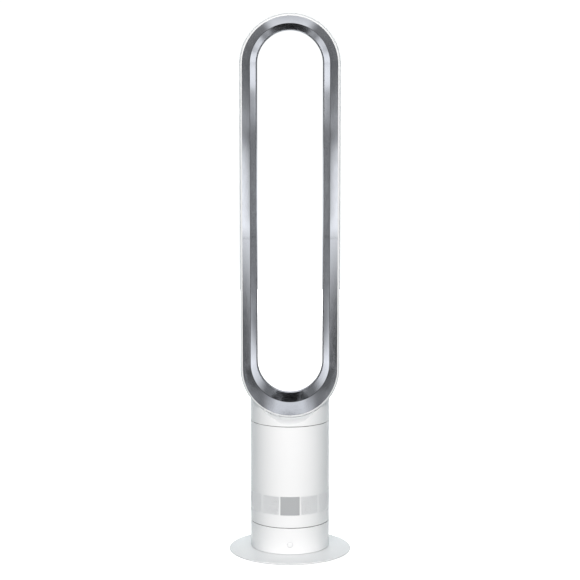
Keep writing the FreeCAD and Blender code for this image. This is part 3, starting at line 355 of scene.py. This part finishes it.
def loop_path_tree():
    """Geometry nodes that carry a section round the loop's path: a circle drawn apart into two half turns."""
    tree = bpy.data.node_groups.new("carry_round_loop", "GeometryNodeTree")
    face = tree.interface
    face.new_socket("Geometry", in_out="INPUT", socket_type="NodeSocketGeometry")
    for label, kind in (
        ("Section", "NodeSocketObject"),
        ("Path Radius", "NodeSocketFloat"),
        ("Lower Centre", "NodeSocketFloat"),
        ("Upper Centre", "NodeSocketFloat"),
        ("Steps Round", "NodeSocketInt"),
        ("Half Step", "NodeSocketFloat"),
        ("Finish", "NodeSocketMaterial"),
    ):
        face.new_socket(label, in_out="INPUT", socket_type=kind)
    face.new_socket("Geometry", in_out="OUTPUT", socket_type="NodeSocketGeometry")
    nodes, links = tree.nodes, tree.links
    source = nodes.new("NodeGroupInput")
    ring = nodes.new("GeometryNodeCurvePrimitiveCircle")
    links.new(source.outputs["Steps Round"], ring.inputs["Resolution"])
    links.new(source.outputs["Path Radius"], ring.inputs["Radius"])
    half_turned = nodes.new("ShaderNodeCombineXYZ")
    links.new(source.outputs["Half Step"], half_turned.inputs["Z"])
    staggered = nodes.new("GeometryNodeTransform")
    links.new(ring.outputs["Curve"], staggered.inputs["Geometry"])
    links.new(half_turned.outputs["Vector"], staggered.inputs["Rotation"])
    at = nodes.new("GeometryNodeInputPosition")
    split = nodes.new("ShaderNodeSeparateXYZ")
    links.new(at.outputs["Position"], split.inputs["Vector"])
    above = nodes.new("ShaderNodeMath")
    above.operation = "GREATER_THAN"
    above.inputs[1].default_value = 0.0
    links.new(split.outputs["Y"], above.inputs[0])
    height = nodes.new("ShaderNodeMix")
    links.new(above.outputs["Value"], height.inputs["Factor"])
    links.new(source.outputs["Lower Centre"], height.inputs["A"])
    links.new(source.outputs["Upper Centre"], height.inputs["B"])
    lift = nodes.new("ShaderNodeCombineXYZ")
    links.new(height.outputs["Result"], lift.inputs["Y"])
    path = nodes.new("GeometryNodeSetPosition")
    links.new(staggered.outputs["Geometry"], path.inputs["Geometry"])
    links.new(lift.outputs["Vector"], path.inputs["Offset"])
    section = nodes.new("GeometryNodeObjectInfo")
    links.new(source.outputs["Section"], section.inputs["Object"])
    carried = nodes.new("GeometryNodeCurveToMesh")
    links.new(path.outputs["Geometry"], carried.inputs["Curve"])
    links.new(section.outputs["Geometry"], carried.inputs["Profile Curve"])
    stood = nodes.new("GeometryNodeTransform")
    stood.inputs["Rotation"].default_value = (math.pi / 2, 0.0, 0.0)
    links.new(carried.outputs["Mesh"], stood.inputs["Geometry"])
    real = nodes.new("GeometryNodeRealizeInstances")
    links.new(stood.outputs["Geometry"], real.inputs["Geometry"])
    coated = nodes.new("GeometryNodeSetMaterial")
    links.new(real.outputs["Geometry"], coated.inputs["Geometry"])
    links.new(source.outputs["Finish"], coated.inputs["Material"])
    result = nodes.new("NodeGroupOutput")
    links.new(coated.outputs["Geometry"], result.inputs["Geometry"])
    return tree


def grown(name, tree, settings, sharp_deg):
    """Runs a geometry tree with its named settings and returns the result as a plain mesh object."""
    holder = bpy.data.objects.new(name + "_source", bpy.data.meshes.new(name + "_source"))
    scene.collection.objects.link(holder)
    run = holder.modifiers.new("grow", "NODES")
    run.node_group = tree
    for item in tree.interface.items_tree:
        if item.item_type == "SOCKET" and item.in_out == "INPUT" and item.name in settings:
            run[item.identifier] = settings[item.name]
    bpy.context.view_layer.update()
    seen = holder.evaluated_get(bpy.context.evaluated_depsgraph_get())
    mesh = bpy.data.meshes.new_from_object(seen)
    mesh.name = name
    holder.modifiers.remove(run)
    bpy.data.objects.remove(holder)
    tidy = bmesh.new()
    tidy.from_mesh(mesh)
    bmesh.ops.remove_doubles(tidy, verts=tidy.verts, dist=0.000002)
    if sharp_deg:
        bmesh.ops.recalc_face_normals(tidy, faces=tidy.faces)
    for part in tidy.faces:
        part.smooth = bool(sharp_deg)
    tidy.to_mesh(mesh)
    tidy.free()
    if sharp_deg:
        mesh.set_sharp_from_angle(angle=math.radians(sharp_deg))
    made = bpy.data.objects.new(name, mesh)
    scene.collection.objects.link(made)
    return made


def held(points, margin=0.35):
    """Adds a point near each end of a section's straights, so that flats stay flat beside round corners."""
    made = []
    for here, after in zip(points, points[1:] + points[:1]):
        made.append(here)
        length = math.dist(here, after)
        if length > 3.5 * margin:
            for t in (margin / length, 1.0 - margin / length):
                made.append(tuple(Vector(here).lerp(Vector(after), t)))
    return made


def section_curve(name, points):
    """A closed section, (radius, depth) in millimetres, drawn about the path."""
    points = held(points)
    curve = bpy.data.curves.new(name, "CURVE")
    curve.dimensions = "2D"
    spline = curve.splines.new("POLY")
    spline.points.add(len(points) - 1)
    for point, (radius, depth) in zip(spline.points, points):
        point.co = (radius * MM - PATH_RADIUS, depth * MM, 0.0, 1.0)
    spline.use_cyclic_u = True
    made = bpy.data.objects.new(name, curve)
    scene.collection.objects.link(made)
    return made


carry_round_loop = loop_path_tree()


def loop_piece(name, node, points, finish):
    """One of the loop's mouldings, standing for its solid."""
    section = section_curve(name + "_section", points)
    settings = {
        "Section": section,
        "Path Radius": PATH_RADIUS,
        "Lower Centre": LOWER_CENTRE,
        "Upper Centre": UPPER_CENTRE,
        "Steps Round": STEPS_ROUND,
        "Half Step": math.pi / STEPS_ROUND,
        "Finish": finish,
    }
    piece = grown(name, carry_round_loop, settings, 32.0)
    bpy.data.objects.remove(section)
    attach(piece, "upper")
    if node:
        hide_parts(node)
    return piece


def sprayed_metal(name, colour, roughness):
    """Satin metallic lacquer: fine flake in the gloss and tint, over a faintly uneven moulding."""
    material = bpy.data.materials.new(name)
    material.use_nodes = True
    nodes = material.node_tree.nodes
    links = material.node_tree.links
    shader = nodes["Principled BSDF"]
    shader.inputs["Metallic"].default_value = 1.0
    coords = nodes.new("ShaderNodeTexCoord")
    flake = nodes.new("ShaderNodeTexVoronoi")
    flake.inputs["Scale"].default_value = 3200.0
    links.new(coords.outputs["Object"], flake.inputs["Vector"])
    clouds = nodes.new("ShaderNodeTexNoise")
    clouds.inputs["Scale"].default_value = 60.0
    clouds.inputs["Detail"].default_value = 5.0
    links.new(coords.outputs["Object"], clouds.inputs["Vector"])
    tint = nodes.new("ShaderNodeMix")
    tint.data_type = "RGBA"
    tint.inputs["A"].default_value = (*[c * 0.93 for c in colour], 1.0)
    tint.inputs["B"].default_value = (*colour, 1.0)
    links.new(flake.outputs["Distance"], tint.inputs["Factor"])
    links.new(tint.outputs["Result"], shader.inputs["Base Color"])
    gloss = nodes.new("ShaderNodeMapRange")
    gloss.inputs["From Min"].default_value = 0.3
    gloss.inputs["From Max"].default_value = 0.7
    gloss.inputs["To Min"].default_value = roughness - 0.02
    gloss.inputs["To Max"].default_value = roughness + 0.02
    links.new(clouds.outputs["Fac"], gloss.inputs["Value"])
    links.new(gloss.outputs["Result"], shader.inputs["Roughness"])
    bump = nodes.new("ShaderNodeBump")
    bump.inputs["Strength"].default_value = 0.3
    bump.inputs["Distance"].default_value = 0.000004
    links.new(flake.outputs["Distance"], bump.inputs["Height"])
    links.new(bump.outputs["Normal"], shader.inputs["Normal"])
    return material


satin_nickel = sprayed_metal("satin_nickel", (0.70, 0.72, 0.765), 0.13)

BAND_FRONT, BAND_REAR = (87.2, -54.7), (74.25, 5.0)
RAMP_FRONT, RAMP_NOSE, NOSE_RADIUS = (74.15, 5.2), (67.8, 39.8), 4.5
CREASE = (74.23, 5.10)
BAND_WALL, RAMP_WALL, CASING_WALL = 1.2, 1.5, 1.7
band_length = math.dist(BAND_FRONT, BAND_REAR)
heading = math.atan2(RAMP_NOSE[1] - RAMP_FRONT[1], RAMP_NOSE[0] - RAMP_FRONT[0])
nose_reach = math.dist(RAMP_NOSE, RAMP_FRONT)
heading += math.asin(NOSE_RADIUS / nose_reach)
straight = math.sqrt(nose_reach ** 2 - NOSE_RADIUS ** 2)
RAMP_END = (RAMP_FRONT[0] + straight * math.cos(heading), RAMP_FRONT[1] + straight * math.sin(heading))
turn_in = math.degrees(math.atan2(RAMP_END[1] - RAMP_NOSE[1], RAMP_END[0] - RAMP_NOSE[0])) % 360.0

CASING_OUT, LIP_RADIUS, LIP_REACH, BEND = 91.8, 11.5, 26.5, 45.0
BEND_CENTRE, BEND_RADIUS, LIP_DEPTH, LIP_TURN = 53.8, 38.0, 43.5, 172.0
FRONT_CENTRE, FRONT_RADIUS, FRONT_TURN = (83.6, -47.63), 8.2, -64.0
BAND_FIT, FRONT_INSET, WALL_END_DEPTH = 0.03, 0.12, -46.0
LIP_TIP_DEPTH, LIP_EDGE_DEPTH = 44.6, 39.3
SPRAYED_REACH, SPRAYED_DEPTH = 1.7, 0.047
lip_centre = (BEND_CENTRE + LIP_REACH * math.cos(math.radians(BEND)), LIP_DEPTH)
bend_start = LIP_DEPTH - LIP_REACH * math.sin(math.radians(BEND))
lip_inside = lip_centre[0] - LIP_RADIUS
casing_section = [along(BAND_FRONT, BAND_REAR, 0.0, BAND_WALL + BAND_FIT)]
casing_section += [along(BAND_FRONT, BAND_REAR, 0.0, FRONT_INSET)]
casing_section += arc(*FRONT_CENTRE, FRONT_RADIUS, FRONT_TURN, 0.0, 12)
casing_section += arc(BEND_CENTRE, bend_start, BEND_RADIUS, 0.0, BEND, 16)
casing_section += arc(*lip_centre, LIP_RADIUS, BEND, LIP_TURN, 22)[1:]
casing_section += [(lip_inside + 0.16, LIP_TIP_DEPTH)]
casing_section += [(lip_inside + 1.5, LIP_EDGE_DEPTH), (lip_inside + 1.6, LIP_EDGE_DEPTH)]
casing_section += arc(*lip_centre, LIP_RADIUS - CASING_WALL, LIP_TURN, BEND, 16)
casing_section += arc(BEND_CENTRE, bend_start, BEND_RADIUS - CASING_WALL, BEND, 0.0, 12)[1:]
casing_section += [(CASING_OUT - CASING_WALL, WALL_END_DEPTH)]
casing_section += [along(BAND_FRONT, BAND_REAR, 7.0, BAND_WALL + BAND_FIT)]
loop_casing = loop_piece("loop_casing", "nozzle_shell", casing_section, white_gloss)
loop_casing.data.materials.append(satin_nickel)
for face in loop_casing.data.polygons:
    turn_centre = min(max(face.center.z, LOWER_CENTRE), UPPER_CENTRE)
    reach = math.hypot(face.center.x, face.center.z - turn_centre)
    if reach < (lip_inside + SPRAYED_REACH) * MM and face.center.y < SPRAYED_DEPTH:
        face.material_index = 1

band_section = eased([
    BAND_FRONT,
    BAND_REAR,
    along(BAND_FRONT, BAND_REAR, band_length, BAND_WALL * 0.6),
    along(RAMP_FRONT, RAMP_END, -0.2, RAMP_WALL + 0.02),
    along(RAMP_FRONT, RAMP_END, 7.0, RAMP_WALL + 0.02),
    along(RAMP_FRONT, RAMP_END, 7.0, RAMP_WALL + 1.2),
    along(BAND_FRONT, BAND_REAR, band_length - 1.0, BAND_WALL + 1.6),
    along(BAND_FRONT, BAND_REAR, band_length - 4.0, BAND_WALL),
    along(BAND_FRONT, BAND_REAR, BAND_WALL, BAND_WALL),
], 0.06, 2)
loop_piece("loop_front_band", "front_band", band_section, satin_nickel)

ramp_section = [along(CREASE, RAMP_END, 0.0, 0.0)]
ramp_section += arc(*RAMP_NOSE, NOSE_RADIUS, turn_in, 80.0, 14)
ramp_section += arc(*RAMP_NOSE, NOSE_RADIUS - RAMP_WALL, 80.0, turn_in, 10)
ramp_section += [along(CREASE, RAMP_END, 0.0, RAMP_WALL)]
loop_piece("loop_inner_ramp", "inner_ramp", ramp_section, satin_nickel)

# The black strip in the crease between band and ramp is painted shade, standing for the groove's shadow.
painted_crease_shade = moulded("painted_crease_shade", (0.012, 0.012, 0.014), 0.6, grain=0.0007, depth=0.00001)
crease_shade_section = [(74.30, 4.85), (73.85, 5.35), (73.72, 5.85), (74.10, 5.75)]
loop_piece("loop_crease_seal", None, crease_shade_section, painted_crease_shade)

# ------------------------------------------------------------------ gap shade rings
# Two black rings lie just below the surface in the gaps of the body, painted shade that darkens the gaps:
# one between neck and body, one between body and collar, where the upper part turns on the base.
gap_shade_black = moulded("gap_shade_black", (0.03, 0.03, 0.033), 0.7, grain=0.0007, depth=0.00002)
neck_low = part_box("nozzle_neck")[0].z
body_low, body_high = (corner.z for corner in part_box("body_shell"))
collar_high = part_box("base_collar")[1].z
body_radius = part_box("body_shell")[1].x


def gap_shade_ring(name, low, high):
    """A plain black ring of painted gap shade, of rectangular section, 0.1 mm clear of the mouldings above
    and below it.
    """
    outer, inner = body_radius - 0.0007, body_radius - 0.0021
    low, high = low + 0.0001, high - 0.0001
    mesh = bpy.data.meshes.new(name)
    ring_bm = bmesh.new()
    stations = []
    for i in range(160):
        turn = math.tau * i / 160
        section = ((outer, low), (outer, high), (inner, high), (inner, low))
        stations.append([ring_bm.verts.new((r * math.cos(turn), r * math.sin(turn), z)) for r, z in section])
    for here, after in zip(stations, stations[1:] + stations[:1]):
        for k in range(4):
            ring_bm.faces.new((here[k], after[k], after[(k + 1) % 4], here[(k + 1) % 4]))
    bmesh.ops.recalc_face_normals(ring_bm, faces=ring_bm.faces)
    ring_bm.to_mesh(mesh)
    ring_bm.free()
    mesh.materials.append(gap_shade_black)
    made = bpy.data.objects.new(name, mesh)
    scene.collection.objects.link(made)
    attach(made, "upper")
    return made


gap_shade_ring("neck_joint_ring", body_high, neck_low)
gap_shade_ring("swivel_joint_ring", collar_high, body_low)

# ------------------------------------------------------------------ inlet panels
# Eleven curved panels close the windows round the body, everywhere but at the front.  Each is a thin
# moulding punched with a close grid of small round holes, and snaps into its window from inside.
panel_low, panel_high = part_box("inlet_grilles")
PANEL_RADIUS = panel_high.x
PANEL_WALL = 0.0016
PANELS_ROUND = 12
HOLES_ACROSS = 16
HOLES_UP = 16
PANEL_MARGIN = 0.0007
CELL_UP = (panel_high.z - panel_low.z - 2 * PANEL_MARGIN) / HOLES_UP
CELL_ACROSS = (PANEL_RADIUS * math.radians(2 * 13.92) - 2 * PANEL_MARGIN) / HOLES_ACROSS
HOLE_RADIUS = 0.00070


def punched_cell():
    """One cell of a panel: a square face with a hole, and the hole's wall."""
    mesh = bpy.data.meshes.new("punched_cell")
    w, h = CELL_ACROSS / 2, CELL_UP / 2
    edge = [(w, 0), (w, h), (0, h), (-w, h), (-w, 0), (-w, -h), (0, -h), (w, -h)]
    turns = [math.tau * i / 8 for i in range(8)]
    hole = [(HOLE_RADIUS * math.cos(turn), HOLE_RADIUS * math.sin(turn)) for turn in turns]
    outlines = ((edge, 0), (hole, 0), (hole, PANEL_WALL), (edge, PANEL_WALL))
    points = [(x, y, z) for outline, y in outlines for x, z in outline]
    faces = [(k + i, k + (i + 1) % 8, k + 8 + (i + 1) % 8, k + 8 + i) for k in (0, 8, 16) for i in range(8)]
    mesh.from_pydata(points, [], faces)
    made = bpy.data.objects.new("punched_cell", mesh)
    scene.collection.objects.link(made)
    return made


def panel_rim():
    """The plain margin and edge that close a panel round its grid of cells."""
    mesh = bpy.data.meshes.new("panel_rim")
    w, h = CELL_ACROSS * HOLES_ACROSS / 2, CELL_UP * HOLES_UP / 2
    steps_across, steps_up = 2 * HOLES_ACROSS, 2 * HOLES_UP
    outline = [(w, -h + 2 * h * i / steps_up, 1, -1 if i == 0 else 0) for i in range(steps_up)]
    outline += [(w - 2 * w * i / steps_across, h, 1 if i == 0 else 0, 1) for i in range(steps_across)]
    outline += [(-w, h - 2 * h * i / steps_up, -1, 1 if i == 0 else 0) for i in range(steps_up)]
    outline += [(-w + 2 * w * i / steps_across, -h, -1 if i == 0 else 0, -1) for i in range(steps_across)]
    points = []
    for y, margin in ((0, 0), (0, PANEL_MARGIN), (PANEL_WALL, PANEL_MARGIN), (PANEL_WALL, 0)):
        points += [(x + dx * margin, y, z + dz * margin) for x, z, dx, dz in outline]
    total = len(outline)
    faces = []
    for k in range(3):
        for i in range(total):
            j = (i + 1) % total
            faces.append((k * total + i, (k + 1) * total + i, (k + 1) * total + j, k * total + j))
    mesh.from_pydata(points, [], faces)
    made = bpy.data.objects.new("panel_rim", mesh)
    scene.collection.objects.link(made)
    return made


def panel_tree():
    """Geometry nodes that lay cells on a grid, bend the grid to the body and repeat it round the windows."""
    tree = bpy.data.node_groups.new("punched_panels", "GeometryNodeTree")
    face = tree.interface
    face.new_socket("Geometry", in_out="INPUT", socket_type="NodeSocketGeometry")
    for label, kind in (
        ("Cell", "NodeSocketObject"),
        ("Rim", "NodeSocketObject"),
        ("Across", "NodeSocketInt"),
        ("Up", "NodeSocketInt"),
        ("Width", "NodeSocketFloat"),
        ("Height", "NodeSocketFloat"),
        ("Middle Height", "NodeSocketFloat"),
        ("Bend Radius", "NodeSocketFloat"),
        ("Panels", "NodeSocketInt"),
        ("Pitch", "NodeSocketFloat"),
        ("Finish", "NodeSocketMaterial"),
    ):
        face.new_socket(label, in_out="INPUT", socket_type=kind)
    face.new_socket("Geometry", in_out="OUTPUT", socket_type="NodeSocketGeometry")
    nodes, links = tree.nodes, tree.links
    source = nodes.new("NodeGroupInput")
    grid = nodes.new("GeometryNodeMeshGrid")
    links.new(source.outputs["Across"], grid.inputs["Vertices X"])
    links.new(source.outputs["Up"], grid.inputs["Vertices Y"])
    links.new(source.outputs["Width"], grid.inputs["Size X"])
    links.new(source.outputs["Height"], grid.inputs["Size Y"])
    stood = nodes.new("GeometryNodeTransform")
    stood.inputs["Rotation"].default_value = (math.pi / 2, 0.0, 0.0)
    links.new(grid.outputs["Mesh"], stood.inputs["Geometry"])
    cell = nodes.new("GeometryNodeObjectInfo")
    cell.inputs["As Instance"].default_value = True
    links.new(source.outputs["Cell"], cell.inputs["Object"])
    cells = nodes.new("GeometryNodeInstanceOnPoints")
    links.new(stood.outputs["Geometry"], cells.inputs["Points"])
    links.new(cell.outputs["Geometry"], cells.inputs["Instance"])
    rim = nodes.new("GeometryNodeObjectInfo")
    links.new(source.outputs["Rim"], rim.inputs["Object"])
    rimmed = nodes.new("GeometryNodeJoinGeometry")
    links.new(cells.outputs["Instances"], rimmed.inputs["Geometry"])
    links.new(rim.outputs["Geometry"], rimmed.inputs["Geometry"])
    flat = nodes.new("GeometryNodeRealizeInstances")
    links.new(rimmed.outputs["Geometry"], flat.inputs["Geometry"])
    at = nodes.new("GeometryNodeInputPosition")
    split = nodes.new("ShaderNodeSeparateXYZ")
    links.new(at.outputs["Position"], split.inputs["Vector"])

    def sum_of(operation, *values):
        step = nodes.new("ShaderNodeMath")
        step.operation = operation
        for socket, value in zip(step.inputs, values):
            links.new(value, socket)
        return step.outputs["Value"]

    angle = sum_of("DIVIDE", split.outputs["X"], source.outputs["Bend Radius"])
    reach = sum_of("SUBTRACT", source.outputs["Bend Radius"], split.outputs["Y"])
    bent = nodes.new("ShaderNodeCombineXYZ")
    links.new(sum_of("MULTIPLY", reach, sum_of("SINE", angle)), bent.inputs["X"])
    depth = sum_of("MULTIPLY", reach, sum_of("COSINE", angle))
    front = nodes.new("ShaderNodeMath")
    front.operation = "MULTIPLY"
    front.inputs[1].default_value = -1.0
    links.new(depth, front.inputs[0])
    links.new(front.outputs["Value"], bent.inputs["Y"])
    links.new(sum_of("ADD", split.outputs["Z"], source.outputs["Middle Height"]), bent.inputs["Z"])
    curved = nodes.new("GeometryNodeSetPosition")
    links.new(flat.outputs["Geometry"], curved.inputs["Geometry"])
    links.new(bent.outputs["Vector"], curved.inputs["Position"])
    stations = nodes.new("GeometryNodeMeshLine")
    stations.inputs["Offset"].default_value = (0.0, 0.0, 0.0)
    links.new(source.outputs["Panels"], stations.inputs["Count"])
    number = nodes.new("GeometryNodeInputIndex")
    place = nodes.new("ShaderNodeMath")
    place.operation = "ADD"
    place.inputs[1].default_value = 1.0
    links.new(number.outputs["Index"], place.inputs[0])
    turn = nodes.new("ShaderNodeCombineXYZ")
    links.new(sum_of("MULTIPLY", place.outputs["Value"], source.outputs["Pitch"]), turn.inputs["Z"])
    to_rotation = nodes.new("FunctionNodeEulerToRotation")
    links.new(turn.outputs["Vector"], to_rotation.inputs["Euler"])
    round_body = nodes.new("GeometryNodeInstanceOnPoints")
    links.new(stations.outputs["Mesh"], round_body.inputs["Points"])
    links.new(curved.outputs["Geometry"], round_body.inputs["Instance"])
    links.new(to_rotation.outputs["Rotation"], round_body.inputs["Rotation"])
    real = nodes.new("GeometryNodeRealizeInstances")
    links.new(round_body.outputs["Instances"], real.inputs["Geometry"])
    coated = nodes.new("GeometryNodeSetMaterial")
    links.new(real.outputs["Geometry"], coated.inputs["Geometry"])
    links.new(source.outputs["Finish"], coated.inputs["Material"])
    result = nodes.new("NodeGroupOutput")
    links.new(coated.outputs["Geometry"], result.inputs["Geometry"])
    return tree


grille_plastic = moulded("grille_plastic", (0.74, 0.77, 0.79), 0.35, grain=0.0006)
cell_object = punched_cell()
rim_object = panel_rim()
panel_settings = {
    "Cell": cell_object,
    "Rim": rim_object,
    "Across": HOLES_ACROSS,
    "Up": HOLES_UP,
    "Width": CELL_ACROSS * (HOLES_ACROSS - 1),
    "Height": CELL_UP * (HOLES_UP - 1),
    "Middle Height": (panel_low.z + panel_high.z) / 2,
    "Bend Radius": PANEL_RADIUS,
    "Panels": PANELS_ROUND - 1,
    "Pitch": math.tau / PANELS_ROUND,
    "Finish": grille_plastic,
}
inlet_panels = grown("inlet_panels", panel_tree(), panel_settings, 0.0)
bpy.data.objects.remove(cell_object)
bpy.data.objects.remove(rim_object)
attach(inlet_panels, "upper")
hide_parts("inlet_grilles")

# ------------------------------------------------------------------ display window and power button
# The front window is a smoked translucent panel over the digit display.  The button below it is a white
# cap in a thin nickel ring, held out by a coil spring, here a copy of the modelled coil kept at its length.
LENS_TINT = (0.365, 0.385, 0.40)
lens_grey = moulded("lens_grey", LENS_TINT, 0.14, cloud=0.02, grain=0.0009, depth=0.000006, coat=0.4)
dress(lens_grey, "display_lens")
coil = bpy.data.objects.new("button_coil", cad["button_spring"].data.copy())
coil.matrix_world = cad["button_spring"].matrix_world.copy()
scene.collection.objects.link(coil)
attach(coil, "base")
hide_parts("button_spring")
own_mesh(coil)
ring_nickel = sprayed_metal("ring_nickel", (0.66, 0.67, 0.69), 0.3)
dress(ring_nickel, "button_bezel")

# ------------------------------------------------------------------ rubber, plastic and foam inside
# Feet, mounts and the neck gasket are black rubber.  Structural parts inside are unpainted mouldings, and
# the foam pads are open-cell sheets cut to shape and glued in.
black_rubber = moulded("black_rubber", (0.028, 0.028, 0.03), 0.7, grain=0.0007, depth=0.00004)
dress(black_rubber, "rubber_feet", "rubber_mounts", "neck_seal")
black_plastic = moulded("black_plastic", (0.035, 0.035, 0.038), 0.5, grain=0.0005, depth=0.00003)
dress(black_plastic, "button_holder", "bearing_cage", "swivel_plate", "chamber_floor", "impeller")
dress(black_plastic, "air_guide", "slot_spacers", "neck_spigot", "swivel_deck")
grey_plastic = moulded("grey_plastic", (0.30, 0.31, 0.325), 0.5, grain=0.0005, depth=0.00003)
dress(grey_plastic, "base_cover", "cable_gland", "fan_housing", "bellmouth", "motor_bucket")
dress(grey_plastic, "bucket_cap", "diffuser")
natural_plastic = moulded("natural_plastic", (0.62, 0.62, 0.58), 0.42, grain=0.0005, depth=0.00002)
dress(natural_plastic, "drive_pinion", "ring_gear")


def open_foam(name, colour):
    """Open-cell foam: pores of a millimetre or so, with painted shade darkening their insides."""
    material = bpy.data.materials.new(name)
    material.use_nodes = True
    nodes = material.node_tree.nodes
    links = material.node_tree.links
    shader = nodes["Principled BSDF"]
    shader.inputs["Roughness"].default_value = 0.95
    coords = nodes.new("ShaderNodeTexCoord")
    pores = nodes.new("ShaderNodeTexVoronoi")
    pores.inputs["Scale"].default_value = 650.0
    links.new(coords.outputs["Object"], pores.inputs["Vector"])
    # Each pore's centre is painted darker: painted shade in the hollow.
    shade = nodes.new("ShaderNodeMix")
    shade.data_type = "RGBA"
    shade.inputs["A"].default_value = (*[c * 0.35 for c in colour], 1.0)
    shade.inputs["B"].default_value = (*colour, 1.0)
    links.new(pores.outputs["Distance"], shade.inputs["Factor"])
    links.new(shade.outputs["Result"], shader.inputs["Base Color"])
    bump = nodes.new("ShaderNodeBump")
    bump.inputs["Strength"].default_value = 0.8
    bump.inputs["Distance"].default_value = 0.0004
    links.new(pores.outputs["Distance"], bump.inputs["Height"])
    links.new(bump.outputs["Normal"], shader.inputs["Normal"])
    return material


dress(open_foam("acoustic_foam", (0.10, 0.10, 0.11)), "floor_foam", "fan_foam")


# ------------------------------------------------------------------ metal works and electronics
# Screws, balls, shafts and the motor can are bright zinc-plated or ground steel.  The ballast ring and
# the stator are dark steel, the windings enamelled copper, and the boards green laminate.
def turned_metal(name, colour, roughness, grain=0.0009):
    """Machined metal with faint tool marks round the upright axis."""
    material = bpy.data.materials.new(name)
    material.use_nodes = True
    nodes = material.node_tree.nodes
    links = material.node_tree.links
    shader = nodes["Principled BSDF"]
    shader.inputs["Metallic"].default_value = 1.0
    shader.inputs["Base Color"].default_value = (*colour, 1.0)
    coords = nodes.new("ShaderNodeTexCoord")
    stretch = nodes.new("ShaderNodeMapping")
    stretch.inputs["Scale"].default_value = (1.0, 1.0, 6.0)
    links.new(coords.outputs["Object"], stretch.inputs["Vector"])
    marks = nodes.new("ShaderNodeTexNoise")
    marks.inputs["Scale"].default_value = 1.0 / grain
    marks.inputs["Detail"].default_value = 3.0
    links.new(stretch.outputs["Vector"], marks.inputs["Vector"])
    gloss = nodes.new("ShaderNodeMapRange")
    gloss.inputs["To Min"].default_value = roughness - 0.08
    gloss.inputs["To Max"].default_value = roughness + 0.08
    links.new(marks.outputs["Fac"], gloss.inputs["Value"])
    links.new(gloss.outputs["Result"], shader.inputs["Roughness"])
    bump = nodes.new("ShaderNodeBump")
    bump.inputs["Strength"].default_value = 0.4
    bump.inputs["Distance"].default_value = 0.00001
    links.new(marks.outputs["Fac"], bump.inputs["Height"])
    links.new(bump.outputs["Normal"], shader.inputs["Normal"])
    return material


zinc_steel = turned_metal("zinc_steel", (0.60, 0.61, 0.64), 0.32)
coil.data.materials.clear()
coil.data.materials.append(zinc_steel)
dress(zinc_steel, "base_screws", "deck_screws", "stop_pin", "bearing_balls", "swivel_motor")
dress(zinc_steel, "swivel_motor_screws", "drive_shaft", "retaining_ring", "body_screws", "motor_shaft")
dress(zinc_steel, "motor_bearings", "neck_screws")
dress(turned_metal("dark_steel", (0.17, 0.17, 0.18), 0.5), "base_weight", "motor_stator")
dress(turned_metal("copper_wire", (0.78, 0.36, 0.18), 0.35, grain=0.0004), "motor_coils")
dress(turned_metal("plated_magnet", (0.30, 0.30, 0.32), 0.28), "rotor_magnet")
green_laminate = moulded("green_laminate", (0.02, 0.12, 0.05), 0.35)
dress(green_laminate, "button_board", "power_board", "main_board", "display_board")
component_black = moulded("component_black", (0.03, 0.03, 0.033), 0.4)
dress(component_black, "tact_switch", "power_board_parts", "main_board_parts")
dress(moulded("display_black", (0.02, 0.02, 0.022), 0.25), "display_parts")
dress(moulded("wire_red", (0.30, 0.015, 0.012), 0.4), "wire_loom")
